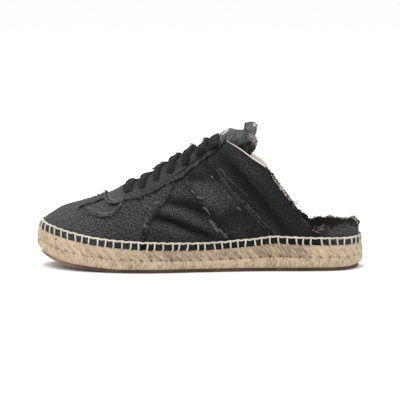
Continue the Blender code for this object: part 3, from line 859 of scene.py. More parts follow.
class Bench:
    """Blender operators used to make pieces."""

    DOUBLES = 0.00002

    @staticmethod
    def select(item: bpy.types.Object) -> None:
        """Make this the only chosen object."""
        bpy.ops.object.select_all(action="DESELECT")
        item.select_set(True)
        bpy.context.view_layer.objects.active = item

    @staticmethod
    def clear() -> None:
        """Choose nothing."""
        bpy.ops.object.select_all(action="DESELECT")

    @classmethod
    def edit(cls, item: bpy.types.Object, operator: Callable, **options) -> None:
        """Run one edit-mode operator on the whole of a mesh."""
        cls.select(item)
        bpy.ops.object.mode_set(mode="EDIT")
        bpy.ops.mesh.select_all(action="SELECT")
        operator(**options)
        bpy.ops.object.mode_set(mode="OBJECT")

    @staticmethod
    def paint(item: bpy.types.Object, *materials: bpy.types.Material) -> None:
        """Give a piece its materials in place of any that it has."""
        item.data.materials.clear()
        for material in materials:
            item.data.materials.append(material)

    @staticmethod
    def dress(item: bpy.types.Object, slot: str, *nodes: str) -> None:
        """Tie a finished piece to the shoe and report it."""
        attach(item, "root")
        if nodes:
            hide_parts(*nodes)
        log.info("%s: %d faces", item.name, len(item.data.polygons))

    @classmethod
    def grid(cls, name: str, points: Array, uv: Array, values: dict[str, Array]) -> bpy.types.Object:
        """Sheet of faces bent onto rows of points.

        Args:
            name: Name of the piece.
            points: Rows and columns of places.
            uv: Texture place of each point.
            values: Floats to store at each point, by name.

        Returns:
            The sheet, with its doubled points merged.
        """
        rows, columns = points.shape[:2]
        cls.clear()
        bpy.ops.mesh.primitive_grid_add(x_subdivisions=columns - 1, y_subdivisions=rows - 1, size=2)
        item = bpy.context.object
        item.name = name
        item.data.name = name
        mesh = item.data
        flat = np.empty(len(mesh.vertices) * 3)
        mesh.vertices.foreach_get("co", flat)
        flat = flat.reshape(-1, 3)
        column = np.rint((flat[:, 0] + 1) / 2 * (columns - 1)).astype(int)
        row = np.rint((flat[:, 1] + 1) / 2 * (rows - 1)).astype(int)
        mesh.vertices.foreach_set("co", points[row, column].ravel())
        loops = np.empty(len(mesh.loops), int)
        mesh.loops.foreach_get("vertex_index", loops)
        mesh.uv_layers.active.data.foreach_set("uv", uv[row, column][loops].ravel())
        for key, value in values.items():
            stored = mesh.attributes.new(key, "FLOAT", "POINT")
            stored.data.foreach_set("value", np.broadcast_to(value, (rows, columns))[row, column])
        mesh.update()
        cls.edit(item, bpy.ops.mesh.remove_doubles, threshold=cls.DOUBLES)
        return item

    @classmethod
    def thicken(cls, item: bpy.types.Object, wall: float, out: Callable[[Array], Array],
                shift: int = 0) -> None:
        """Give a sheet its wall, away from its outer face.

        Args:
            item: The sheet.
            wall: Its thickness.
            out: Gives the outward direction at the middles of faces.
            shift: Step from the outer face's material to the inner one's.
        """
        cls.select(item)
        middles = np.array([face.center for face in item.data.polygons])
        normals = np.array([face.normal for face in item.data.polygons])
        if (normals * out(middles)).sum(-1).mean() < 0:
            cls.edit(item, bpy.ops.mesh.flip_normals)
        bpy.ops.object.modifier_add(type="SOLIDIFY")
        modifier = item.modifiers[-1]
        modifier.thickness = wall
        modifier.offset = -1
        modifier.material_offset = shift
        bpy.ops.object.modifier_apply(modifier=modifier.name)

    @classmethod
    def smooth(cls, item: bpy.types.Object, angle: float = 60.0) -> None:
        """Shade smooth, with edges sharper than an angle left sharp."""
        cls.select(item)
        bpy.ops.object.shade_smooth_by_angle(angle=math.radians(angle))

    @classmethod
    def strands(cls, name: str, lines: Iterable[Array], radii: Iterable[Array], radius: float,
                sides: int = 0) -> bpy.types.Object:
        """Thin threads as one mesh.

        Args:
            name: Name of the piece.
            lines: Points of each thread.
            radii: Thickness factor at each point of each thread.
            radius: Radius of a thread.
            sides: Roundness of the section, 0 for four sides.

        Returns:
            The mesh object.
        """
        cls.clear()
        bpy.ops.curve.primitive_bezier_curve_add()
        item = bpy.context.object
        item.name = name
        curve = item.data
        curve.name = name
        curve.splines.clear()
        curve.dimensions = "3D"
        curve.bevel_depth = radius
        curve.bevel_resolution = sides
        curve.use_fill_caps = True
        for line, factor in zip(lines, radii):
            spline = curve.splines.new("POLY")
            spline.points.add(len(line) - 1)
            spline.points.foreach_set("co", np.column_stack([line, np.ones(len(line))]).ravel())
            spline.points.foreach_set("radius", np.broadcast_to(factor, len(line)).copy())
        cls.select(item)
        bpy.ops.object.convert(target="MESH")
        item = bpy.context.object
        item.name = name
        return item


class Edge(Enum):
    """The four borders of a sheet, as the axis that they end and their place on it."""

    LOW = (0, 0)
    HIGH = (0, -1)
    START = (1, 0)
    END = (1, -1)


@dataclass
class Border:
    """Points of an edge, with the directions away from the cloth and out of the shoe."""

    points: Array
    away: Array
    outward: Array

    def where(self, chosen: Array) -> "Border":
        """The part of the border at chosen points."""
        return Border(self.points[chosen], self.away[chosen], self.outward[chosen])

    def read(self, places: Array, scale: Array) -> "Border":
        """Border at places between its points."""
        return Border(*(
            np.stack([np.interp(places, scale, source[:, axis]) for axis in range(3)], -1)
            for source in (self.points, self.away, self.outward)
        ))


class Sheet:
    """Cloth laid over the last: places, their lifts and the finished mesh."""

    def __init__(self, last: Last, relief: Relief, turn: Array, girth: Array, *raw: Edge) -> None:
        """Measure the sheet.

        Args:
            last: The form.
            relief: Its creases.
            turn: Turn of each place, in rows and columns.
            girth: Girth of each place.
            raw: Which borders are raw edges.
        """
        self.raw = raw
        self.turn, self.girth = np.broadcast_arrays(turn, girth)
        self.base = last.surface(self.turn, self.girth)
        self.normal = last.outward(self.turn, self.girth)
        self.relief = relief.at(self.turn, self.girth)
        self.points = self.base
        up = np.linalg.norm(np.diff(self.base, axis=0), axis=-1)
        along = np.linalg.norm(np.diff(self.base, axis=1), axis=-1)
        self.up = np.vstack([np.zeros((1, up.shape[1])), np.cumsum(up, axis=0)])
        self.along = np.hstack([np.zeros((along.shape[0], 1)), np.cumsum(along, axis=1)])
        self.edge = np.full(self.girth.shape, 1.0)
        for axis, place in (border.value for border in raw):
            run = self.along if axis else self.up
            self.edge = np.minimum(self.edge, np.take(run, [-1], axis) - run if place else run)

    def lay(self, lift: float, curl: float = 0.0, seed: int = 0) -> None:
        """Lay the outer face."""
        wave = 0.6 + 0.6 * noise(self.base, 5 * MM, seed) + 0.3 * noise(self.base, 2 * MM, seed + 1)
        rise = curl * fade(self.edge, 1.6 * MM) * np.maximum(wave, 0)
        self.press(lift + self.relief + rise)

    def uv(self) -> Array:
        """Texture places in metres of cloth."""
        middle = self.along[len(self.along) // 2]
        return np.stack([np.broadcast_to(middle, self.up.shape), self.up], -1)

    def press(self, lift: Array) -> None:
        """Move the points along the outward directions."""
        self.points = self.points + lift[..., None] * self.normal

    def border(self, edge: Edge, inner: int = 1) -> Border:
        """One edge of the laid sheet."""
        axis, place = edge.value
        inside = -1 - inner if place else inner
        line, inner_line = (np.take(self.points, at, axis) for at in (place, inside))
        return Border(line, unit(line - inner_line), np.take(self.normal, place, axis))

    def borders(self) -> list[Border]:
        """All raw edges of the laid sheet."""
        return [self.border(edge) for edge in Edge if edge in self.raw]


class PaintedCreaseLight:
    """Lightness of the cloth at each place, from zones and given spots."""

    # Painted highlights on the ridges and painted shade in the troughs of the creases and folds
    PAINTED_CREASE_SPOTS = (
        PaintedLightSpot(-24.0, 48.0, 13.0, 4.2, 0.26, -0.20),
        PaintedLightSpot(-4.0, 39.5, 10.0, 3.4, 0.20, -0.48),
        PaintedLightSpot(-22.0, 31.5, 22.0, 4.0, 0.17, -0.20),
        PaintedLightSpot(-8.0, 33.5, 22.0, 3.6, -0.36, -0.40),
        PaintedLightSpot(-34.0, 42.5, 9.0, 3.0, -0.14, -0.15),
        PaintedLightSpot(-3.0, 51.5, 11.0, 4.6, -0.26, -0.45),
        PaintedLightSpot(-20.0, 55.0, 10.0, 3.2, -0.16, -0.20),
        PaintedLightSpot(-18.0, 65.0, 12.0, 4.5, 0.14, -0.25),
        PaintedLightSpot(48.0, 62.0, 26.0, 5.0, -0.20, -1.15),
        PaintedLightSpot(40.0, 88.0, 20.0, 6.0, 0.10, -1.0),
        PaintedLightSpot(10.0, 60.0, 9.0, 8.0, 0.16, -0.8),
        PaintedLightSpot(-120.0, 40.0, 18.0, 12.0, 0.05, 0.0),
    )

    @classmethod
    def spots(cls, points: Array) -> Array:
        """Sum of the painted highlights and shade."""
        x, v = seen(on_lateral(points))
        total = np.zeros(x.shape)
        for spot in cls.PAINTED_CREASE_SPOTS:
            total += spot.at(x, v)
        return total


# Pieces


class Fibre(Enum):
    """Kinds of loose fibre, by the last word of their piece's name; dark threads also draw painted shadow
    lines.
    """

    DARK = "dark"
    LIGHT = "light"
    PINK = "pink"


DARK, LIGHT, PINK = Fibre


@dataclass(frozen=True)
class FrayAndShadowLine:
    """Bundle of loose threads in the side view; some dark bundles are painted shadow lines. Places in
    millimetres, width as a factor.
    """

    kind: Fibre
    width: float
    line: tuple[tuple[float, float], ...]
    count: int = 3
    stray: float = 0.35


FRAYS_AND_SHADOW_LINES = (
    FrayAndShadowLine(LIGHT, 1.8, ((-2.8, 60.5), (-0.7, 59.4), (2.0, 59.2), (4.6, 60.3)), 5),
    FrayAndShadowLine(DARK, 2.0, ((-3.0, 58.8), (0.5, 57.6), (4.8, 58.6)), 4),
    FrayAndShadowLine(LIGHT, 1.2, ((2.8, 51.6), (5.9, 49.1), (8.9, 45.1))),
    FrayAndShadowLine(LIGHT, 1.1, ((8.1, 40.7), (11.6, 36.3), (14.2, 31.9), (16.4, 30.1)), 5, 0.7),
    FrayAndShadowLine(LIGHT, 1.2, ((16.9, 32.8), (20.4, 28.4), (23.4, 25.3))),
    FrayAndShadowLine(LIGHT, 1.5, ((21.2, 28.4), (24.4, 28.4)), 2),
    FrayAndShadowLine(LIGHT, 1.8, ((-40.1, 54.8), (-37.4, 54.5), (-34.8, 55.3)), 4),
    FrayAndShadowLine(LIGHT, 1.5, ((-43.1, 50.0), (-42.2, 47.8)), 3, 0.6),
    FrayAndShadowLine(LIGHT, 1.5, ((-44.4, 46.0), (-42.7, 44.2)), 3, 0.6),
    FrayAndShadowLine(LIGHT, 1.4, ((-47.1, 41.6), (-45.7, 38.9)), 3, 0.6),
    FrayAndShadowLine(LIGHT, 1.4, ((-49.0, 36.0), (-47.0, 34.0)), 3, 0.6),
    FrayAndShadowLine(LIGHT, 1.2, ((-11.2, 73.3), (-9.4, 69.8)), 2),
    FrayAndShadowLine(LIGHT, 1.2, ((-7.7, 65.4), (-4.2, 62.7)), 3, 0.6),
    FrayAndShadowLine(LIGHT, 0.9, ((-3.3, 71.6), (-1.0, 67.5), (1.1, 63.6)), 2),
    FrayAndShadowLine(LIGHT, 1.6, ((10.6, 78.4), (11.6, 76.4)), 3),
    FrayAndShadowLine(LIGHT, 1.1, ((24.8, 62.0), (27.0, 60.0)), 3, 0.6),
    FrayAndShadowLine(LIGHT, 1.3, ((32.5, 51.5), (36.0, 49.0)), 3, 0.6),
    FrayAndShadowLine(LIGHT, 1.0, ((50.0, 39.0), (54.0, 35.5)), 3, 0.6),
    FrayAndShadowLine(LIGHT, 1.4, ((-82.6, 60.0), (-79.3, 56.5), (-74.2, 55.7), (-68.3, 57.5)), 4, 0.9),
    # Painted shadow under the eyestay's tab, drawn as dark threads
    FrayAndShadowLine(DARK, 2.4, ((-83.6, 57.6), (-79.6, 54.2), (-74.0, 53.4), (-67.5, 55.2)), 4, 0.5),
    FrayAndShadowLine(LIGHT, 0.8, ((-106.0, 51.0), (-98.0, 47.8), (-88.3, 45.6), (-78.2, 46.0)), 3, 1.0),
    FrayAndShadowLine(LIGHT, 0.8, ((-90.0, 45.8), (-78.2, 46.0), (-72.6, 51.0), (-67.0, 56.0)), 3, 1.0),
    # Painted shadow along the edge between the toe overlay and its window, drawn as dark threads
    FrayAndShadowLine(
        DARK, 2.0,
        ((-105.4, 48.8), (-96.4, 44.6), (-87.3, 42.6), (-78.2, 43.0), (-72.8, 46.3), (-68.4, 52.4)), 2, 0.4,
    ),
    # Painted shadow along the side patch's back edge, drawn as dark threads
    FrayAndShadowLine(DARK, 2.2, ((5.0, 91.0), (12.0, 82.6), (25.5, 66.0), (34.8, 56.7)), 4, 0.7),
    FrayAndShadowLine(DARK, 2.2, ((34.0, 57.0), (49.8, 39.2), (61.5, 29.8)), 4, 0.7),
    FrayAndShadowLine(LIGHT, 0.8, ((14.0, 83.0), (27.5, 66.5), (37.0, 56.5)), 2, 1.6),
    FrayAndShadowLine(LIGHT, 0.8, ((40.0, 53.0), (52.0, 39.5), (58.0, 34.0)), 2, 1.6),
    FrayAndShadowLine(PINK, 1.0, ((99.5, 32.8), (102.0, 31.6), (104.5, 31.2)), 3, 0.7),
    FrayAndShadowLine(PINK, 1.0, ((103.5, 32.0), (106.8, 31.4)), 3, 0.6),
    FrayAndShadowLine(LIGHT, 1.6, ((106.5, 32.6), (108.5, 33.6)), 3, 0.5),
)


class FringeAndShadowLines:
    """Loose fibres along raw edges, gathered from every cloth piece, and dark threads laid as painted shadow
    lines.
    """

    SHARES = np.linspace(0, 1, 5)[:, None]
    RADIUS = 0.15 * MM

    def __init__(self, seed: int = 11) -> None:
        """Start with no fibres."""
        self.random = np.random.default_rng(seed)
        self.lines: dict[Fibre, list[Array]] = {kind: [] for kind in Fibre}
        self.widths: dict[Fibre, list[Array]] = {kind: [] for kind in Fibre}

    def thread(self, kind: Fibre, points: Array, width: float) -> None:
        """Add one fibre."""
        self.lines[kind].append(np.asarray(points))
        self.widths[kind].append(width * np.linspace(1, 0.45, len(points)))

    def edge(self, border: Border, per_mm: float, length: float, light: float, along: float = 0.6,
             width: float = 1.0) -> None:
        """Fray a raw edge.

        Args:
            border: The edge.
            per_mm: Fibres in each millimetre.
            length: Usual length of a fibre.
            light: Share of light fibres.
            along: How far fibres lie along the edge.
            width: Thickness factor.
        """
        steps = np.linalg.norm(np.diff(border.points, axis=0), axis=1)
        total = np.concatenate([[0], np.cumsum(steps)])
        count = int(total[-1] / MM * per_mm)
        marks = np.sort(self.random.uniform(0, total[-1], count))
        spots = border.read(marks, total)
        roots, away, out = spots.points, unit(spots.away), unit(spots.outward)
        ahead = unit(np.gradient(roots, axis=0)) if count > 1 else roots
        for k in range(count):
            reach = length * self.random.gamma(3.0, 1 / 3.0)
            slant = self.random.normal(0, along)
            direction = unit(away[k] + slant * ahead[k] + out[k] * self.random.normal(0.15, 0.2))
            bend = self.random.normal(0, 0.5, 3) * 0.8
            start = roots[k] - away[k] * 0.5 * MM + out[k] * self.random.uniform(-0.4, 0.2) * MM
            course = start + reach * (direction * self.SHARES + bend * self.SHARES**2 * 0.5)
            kind = LIGHT if self.random.random() < light else DARK
            self.thread(kind, course, width * self.random.uniform(0.7, 1.3))

    def strand(self, kind: Fibre, marks: Sequence[tuple[float, float, float]], width: float) -> None:
        """Add one long loose thread through places given in millimetres."""
        self.thread(kind, np.array(marks) * MM, width)

    def bundle(self, fray: FrayAndShadowLine, last: Last, relief: Relief, lift: float) -> None:
        """Lay a bundle of threads on the lateral side; a dark bundle can be a painted shadow line.

        Args:
            fray: The bundle.
            last: The form.
            relief: Its creases.
            lift: Height over the last.
        """
        x, v = rounded(np.array(fray.line), 4).T
        turn, girth = last.find(x, v)
        middle = last.skin(turn, girth, lift + relief.at(turn, girth))
        out = last.outward(turn, girth)
        across = unit(np.cross(unit(np.gradient(middle, axis=0)), out))
        for _ in range(fray.count):
            wander = np.cumsum(self.random.normal(0, 0.22, len(x))) + self.random.normal(0, 1.0)
            course = middle + across * (wander * fray.stray * MM)[:, None]
            course = course + out * (self.random.uniform(0.0, 0.8, len(x)) * fray.stray * MM)[:, None]
            self.thread(fray.kind, course, fray.width * self.random.uniform(0.8, 1.2))

    def tuft(self, root: Array, up: Array, reach: float) -> None:
        """Small clump of fibres standing up from a place.

        Args:
            root: The place.
            up: Where they point.
            reach: Their usual length.
        """
        for _ in range(22):
            direction = unit(up + self.random.normal(0, 0.55, 3))
            start = root + self.random.normal(0, 1.1, 3) * np.array([1, 1, 0.3]) * MM
            bend = self.random.normal(0, 0.4, 3)
            length = reach * self.random.uniform(0.5, 1.2)
            course = start + length * (direction * self.SHARES + bend * self.SHARES**2)
            self.thread(LIGHT if self.random.random() < 0.4 else DARK, course, 1.4)

    def trail(self, border: Border, start: float, end: float, count: int, drift: float) -> None:
        """Loose light threads lying along an edge.

        Args:
            border: The edge.
            start: Where they begin, as a share of the edge.
            end: Where they end.
            count: How many.
            drift: How far they stray from the edge.
        """
        marks = np.linspace(0, 1, len(border.points))
        for _ in range(count):
            first = self.random.uniform(start, end)
            last = min(first + self.random.uniform(0.10, 0.45) * (end - start), end)
            spots = border.read(np.linspace(first, last, 7), marks)
            stray = np.cumsum(self.random.normal(0, 0.35, 7))[:, None] * drift
            stray = stray + self.random.normal(0, 0.4) * drift
            rise = self.random.uniform(0.5, 1.2) * MM
            self.thread(LIGHT, spots.points + stray * spots.away + spots.outward * rise, 0.9)

    def build(self, kind: Fibre, finish: ThreadFinish, slot: str) -> None:
        """Make the piece of one kind of fibre."""
        # The dark piece also holds the painted shadow lines
        name = f"frayed_fibres_{kind.value}"
        item = Bench.strands(name, self.lines[kind], self.widths[kind], self.RADIUS)
        Bench.paint(item, finish.build())
        Bench.dress(item, slot)


@dataclass(frozen=True)
class Palette:
    """Finishes of the cloths and threads."""

    canvas: CanvasFinish = CanvasFinish(
        "upper_canvas_look", grey(0.002), (0.088, 0.088, 0.094, 1.0), grey(0.30, 0.01)
    )
    # Inner face of the upper: a darker copy of the canvas, painted shade inside the shoe
    inside: CanvasFinish = CanvasFinish(
        "upper_inside_shaded_look", (0.003, 0.003, 0.002, 1.0), (0.034, 0.030, 0.024, 1.0), grey(0.20, 0.06)
    )
    overlay: CanvasFinish = CanvasFinish(
        "overlay_canvas_look", grey(0.003, -0.04), (0.088, 0.087, 0.094, 1.0), grey(0.30, 0.01)
    )
    patch: CanvasFinish = CanvasFinish(
        "patch_canvas_look", grey(0.002), grey(0.088, -0.01), grey(0.28, 0.02), grain=0.40
    )
    stay: CanvasFinish = CanvasFinish(
        "eyestay_canvas_look", grey(0.002), grey(0.090, -0.02), grey(0.42, 0.01)
    )
    tongue: CanvasFinish = CanvasFinish(
        "tongue_canvas_look", grey(0.003), grey(0.150, 0.0), (0.62, 0.585, 0.575, 1.0), grain=0.42
    )
    lining: CanvasFinish = CanvasFinish(
        "lining_cloth_look", (0.58, 0.51, 0.43, 1.0), (0.93, 0.89, 0.82, 1.0), grey(0.90, 0.03),
        grain=0.15, blotch=0.3, relief=0.3,
    )
    lace: CanvasFinish = CanvasFinish(
        "lace_cloth_look", grey(0.001), grey(0.012, -0.06), grey(0.10), weave=1.1 * MM, grain=0.25,
        relief=1.0,
    )
    stitch: ThreadFinish = ThreadFinish("ecru_thread", (0.72, 0.70, 0.62, 1.0), (0.42, 0.38, 0.31, 1.0))
    # Dark threads, also the colour of the painted shadow lines
    dark_fibre_and_shadow_line: ThreadFinish = ThreadFinish("dark_fibre_and_shadow_line", grey(0.026), grey(0.006))
    light_fibre: ThreadFinish = ThreadFinish("light_fibre", grey(0.34), grey(0.09))
    pink_fibre: ThreadFinish = ThreadFinish("pink_fibre", (0.52, 0.30, 0.23, 1.0), (0.22, 0.11, 0.08, 1.0))


# Two seams of the side in its side view, and two long loose threads at the collar, in millimetres
SEAM_FRONT = ((-22.9, 75.1), (-30.9, 62.7), (-35.9, 52.7), (-42.9, 46.6), (-47.9, 31.5), (-50.8, 23.3))
SEAM_BACK = ((3.7, 91.6), (10.7, 83.4), (23.9, 66.8), (33.1, 57.5), (48.4, 39.7), (60.1, 30.2))
LOOSE_LONG = ((78.0, -33.0, 60.6), (80.5, -34.0, 61.0), (83.5, -34.5, 60.9), (86.9, -35.0, 60.0))
LOOSE_SHORT = ((78.5, -33.0, 59.6), (81.5, -34.5, 59.6), (84.5, -35.5, 58.6), (87.2, -36.0, 57.6))


@dataclass
class ClothPieces:
    """Upper, lining, overlays and tongue, all laid over the last."""

    last: Last
    relief: Relief
    palette: Palette
    fringe_and_shadow_lines: FringeAndShadowLines
    columns: int = 300
    rows: int = 56
    lay_overlay: float = 1.15 * MM
    lay_lining: float = -1.75 * MM
    wall_upper: float = 1.6 * MM
    wall_lining: float = 0.7 * MM
    wall_overlay: float = 0.95 * MM
    wall_tongue: float = 2.2 * MM
    curl: float = 0.8 * MM
    stay_gap: float = 1.9 * MM
    hole_reach: float = 2.6 * MM
    hole_depth: float = 0.9 * MM
    heart: float = 30 * MM

    def close(self, sheet: Sheet, name: str, tone: Array, wear: Array, wall: float, slot: str,
              finishes: Sequence[CanvasFinish], *nodes: str) -> None:
        """Turn a laid sheet into a finished piece.

        Args:
            sheet: The laid sheet.
            name: Name of the piece.
            tone: Lightness at each place.
            wear: Fraying at each place.
            wall: Thickness.
            slot: Not used.
            finishes: Cloth of its outer face, and of its inner one where that is another.
            nodes: CAD nodes that it stands for.
        """
        item = Bench.grid(name, sheet.points, sheet.uv(), {"tone": tone, "wear": wear})
        Bench.paint(item, *(finish.build() for finish in finishes))
        middle = np.array([0.0, 0.0, self.heart])
        across = np.array([0.0, 1.0, 1.0])
        Bench.thicken(item, wall, lambda at: unit(at * across - middle), len(finishes) - 1)
        Bench.smooth(item)
        Bench.dress(item, slot, *nodes)

    def hems(self, along: Array, place: Array, amount: float, seed: int) -> Array:
        """Waviness of a raw edge."""
        points = np.stack([along * self.last.length, place], -1)
        wave = noise(points, 7 * MM, seed) + 0.7 * noise(points, 2.2 * MM, seed + 1)
        return amount * wave / self.last.girth_length(along)

    def upper(self) -> None:
        """Hollow body of the shoe with its low raw rim at the heel."""
        turn = np.linspace(-math.pi, math.pi, 2 * self.columns + 1)
        along = self.last.along(turn)
        raw = ease(0.695, 0.715, along)
        top = self.last.top_girth(turn) + self.hems(along, np.sign(turn), 1.0 * MM, 21) * raw
        girth = np.linspace(0, 1, self.rows + 1)[:, None] * top
        sheet = Sheet(self.last, self.relief, turn, girth, Edge.HIGH)
        flare = 0.5 * MM * raw * fade(sheet.edge, 2 * MM) * noise(sheet.base, 4 * MM, 25)
        sheet.press(sheet.relief + flare)
        tone = self.upper_tone(along, girth, sheet.points)
        wear = (0.30 + 0.50 * ease(0.84, 0.88, along)) * fade(sheet.edge, 0.7 * MM) * raw
        self.close(sheet, "upper_cloth", tone, wear, self.wall_upper, "upper_canvas",
                   (self.palette.canvas, self.palette.inside), "upper")
        for side in Side:
            rim = sheet.border(Edge.HIGH).where((turn * side.value > 0) & (along > 0.700))
            self.fringe_and_shadow_lines.edge(rim, 6.5, 1.5 * MM, 0.08, 1.0, 1.6)
        self.fringe_and_shadow_lines.strand(DARK, LOOSE_LONG, 3.6)
        self.fringe_and_shadow_lines.strand(DARK, LOOSE_SHORT, 3.2)

    def upper_tone(self, along: Array, girth: Array, points: Array) -> Array:
        """Lightness of the upper's zones, with painted shadow along the seams and under the eyestay, and
        painted crease light and shade.

        Args:
            along: Share of the length.
            girth: Girth on the section.
            points: The places.

        Returns:
            The lightness.
        """
        last = self.last
        x, v = seen(on_lateral(points))
        front, back = x - self.seam(v, SEAM_FRONT), x - self.seam(v, SEAM_BACK)
        tone = np.where(along > 0.24, 0.17, np.full(x.shape, 0.50))
        tone = tone + (0.078 - tone) * ease(-1.0, 1.0, back)
        tone = tone + 0.14 * bell(back - 4.0, 2.5) * ease(18, 30, v)
        # Painted shadow along the front seam and along the side patch's back edge
        tone = tone - 0.40 * bell(front - 0.5, 2.0) * ease(0.22, 0.30, along)
        tone = tone - 0.30 * bell(back - 0.5, 1.6)
        ragged = noise(points, 2.4 * MM, 23) * 0.9 + 0.5 - np.abs(front - 1.5) / 4.4
        tone = tone - 0.34 * ease(0.0, 0.4, ragged)
        # Painted shadow on the upper just under the eyestay's lower edge and its tab
        below = (last.stay_girth(np.minimum(along, last.corner)) - girth) * last.girth_length(along)
        strip = ease(last.stay_front - 0.004, last.stay_front + 0.004, along)
        strip = strip * ease(last.corner + 0.004, last.corner - 0.004, along)
        tone = tone - 0.55 * bell(below, 2.0 * MM) * strip
        tone = tone + 0.38 * ease(0.86, 0.93, along)
        return tone + PaintedCreaseLight.spots(points)

    @staticmethod
    def seam(v: Array, marks: Sequence[tuple[float, float]]) -> Array:
        """Place along the shoe of a slanted seam at a seen height."""
        rows = np.array(sorted((height, x) for x, height in marks))
        return np.interp(v, rows[:, 0], rows[:, 1])

    def lining(self) -> None:
        """Pale cotton lining, its turned edge showing along the upper collar."""
        last = self.last
        first, limit = (float(last.turn(np.array(share))) for share in (0.262, 0.800))
        for side in Side:
            turn = np.linspace(first, limit, 220) * side.value
            along = last.along(turn)
            piping = ease(0.575, 0.585, along) * (1 - ease(0.698, 0.712, along))
            extra = 0.25 * MM + 1.15 * MM * piping - 1.0 * MM * ease(0.700, 0.715, along)
            waves = noise(np.stack([along, along], -1), 0.012, 31)
            extra = extra + 0.9 * MM * waves * ease(0.70, 0.72, along)
            top = last.top_girth(turn) + extra / last.girth_length(along)
            girth = 0.03 + np.linspace(0, 1, 41)[:, None] * (top - 0.03)
            sheet = Sheet(last, self.relief, turn, girth, Edge.HIGH)
            sheet.lay(self.lay_lining)
            sheet.press(0.55 * MM * piping * fade(sheet.edge, 0.8 * MM))
            tone = 0.97 + 0 * sheet.edge
            self.close(sheet, f"lining_{side.name.lower()}", tone, 0 * tone, self.wall_lining,
                       "lining_cloth", (self.palette.lining,))
            self.fringe_and_shadow_lines.edge(sheet.border(Edge.HIGH).where(along > 0.705), 0.5, 2.0 * MM, 0.9)

    def eyestay(self) -> None:
        """Strip round the throat with a rounded tab in front."""
        last = self.last
        start = last.stay_front + 0.0002
        along = start + (last.corner - last.stay_front - 0.0002) * np.linspace(0, 1, 230) ** 1.5
        turns = last.turn(along)
        turn = np.concatenate([-turns[::-1], turns])
        both = np.concatenate([along[::-1], along])
        low = last.stay_girth(both) + self.hems(both, np.sign(turn), 0.45 * MM, 41)
        low = np.where(both < last.stay_front + 0.001, 1.0, np.minimum(low, 1.0))
        girth = low + (last.throat_girth(both) - low) * np.linspace(0, 1, 41)[:, None]
        sheet = Sheet(last, self.relief, turn, girth, Edge.LOW, Edge.HIGH)
        sheet.edge = np.where(both > last.throat_front, sheet.edge, np.minimum(sheet.up, 1.0))
        sheet.lay(self.lay_overlay, self.curl, 43)
        holes = self.holes(sheet.base)
        groove = bell(sheet.up - 5.2 * MM, 0.6 * MM) * ease(0.40, 0.44, both)
        tab = 1 - ease(0.235, 0.275, both)
        sheet.press(-self.hole_depth * holes)
        sheet.press(-0.7 * MM * groove)
        sheet.press(0.7 * MM * tab * fade(sheet.up, 2.0 * MM))
        # Painted shade in the pressed groove and in the eyelet hollows
        tone = 0.25 + 0.40 * tab + 0.10 * noise(sheet.base, 7 * MM, 44) - 0.45 * groove - 0.45 * holes
        low_rim = fade(sheet.up, (0.8 + 0.9 * tab) * MM)
        wear = (0.45 + 0.75 * tab) * low_rim * (0.80 + 0.6 * noise(sheet.base, 3 * MM, 45))
        self.close(sheet, "eyestay_cloth", tone, wear, self.wall_overlay, "eyestay_canvas",
                   (self.palette.stay,), "eyestay")
        for border in sheet.borders():
            self.fringe_and_shadow_lines.edge(border, 2.2, 1.0 * MM, 0.18)
        self.fringe_and_shadow_lines.edge(sheet.border(Edge.LOW, 2).where(both < 0.262), 7.0, 1.3 * MM, 0.75, 0.9, 1.4)

    def holes(self, points: Array) -> Array:
        """How near places are to an eyelet.

        Args:
            points: The places.

        Returns:
            1 at an eyelet, 0 far from all.
        """
        last = self.last
        along = np.linspace(last.first_row, last.last_row, last.rows)
        girth, turns = last.hole_girth(along), last.turn(along)
        total = np.zeros(points.shape[:-1])
        for spot in np.vstack([last.skin(-turns, girth, 0), last.skin(turns, girth, 0)]):
            away = np.linalg.norm(points - spot, axis=-1)
            total = np.maximum(total, bell(away, self.hole_reach))
        return total

    def overlay(self) -> None:
        """Front piece over the toe, with its stem and the two open windows."""
        last = self.last
        share = np.linspace(0, 1, 37)[:, None]
        place, top = self.overlay_plan(share)
        half_turn = last.turn(place)
        turn = np.hstack([-half_turn[:, ::-1], half_turn[:, 1:]])
        girth = np.hstack([(top * share)[:, ::-1], (top * share)[:, 1:]])
        both = np.hstack([place[:, ::-1], place[:, 1:]])
        sheet = Sheet(last, self.relief, turn, girth, Edge.HIGH, Edge.START, Edge.END)
        ends = np.minimum(sheet.along, sheet.along[:, -1:] - sheet.along)
        sheet.edge = np.where(both[-1] < last.window_front, ends, sheet.edge)
        sheet.lay(self.lay_overlay, self.curl * 0.8, 53)
        wear = (0.15 + 0.40 * ease(0.27, 0.29, both)) * fade(sheet.edge, 0.8 * MM)
        wear = wear * (0.7 + 0.7 * noise(sheet.base, 3 * MM, 55))
        self.close(sheet, "toe_overlay_cloth", self.overlay_tone(both, girth, sheet), wear,
                   self.wall_overlay, "overlay_canvas", (self.palette.overlay,), "toe_overlay")
        high = sheet.border(Edge.HIGH, 2)
        for side in Side:
            chosen = (both[-1] > last.window_front) & (turn[-1] * side.value > 0)
            self.fringe_and_shadow_lines.edge(high.where(chosen), 3.0, 1.2 * MM, 0.30)
            lobe = high.where(chosen & (both[-1] < 0.262))
            lobe.points = lobe.points + 0.9 * MM * lobe.away
            self.fringe_and_shadow_lines.edge(lobe, 8.0, 1.2 * MM, 0.6, 1.3, 1.3)
        for edge in (Edge.START, Edge.END):
            self.fringe_and_shadow_lines.edge(sheet.border(edge, 2), 4.0, 1.6 * MM, 0.22, 1.0)
        self.stem()

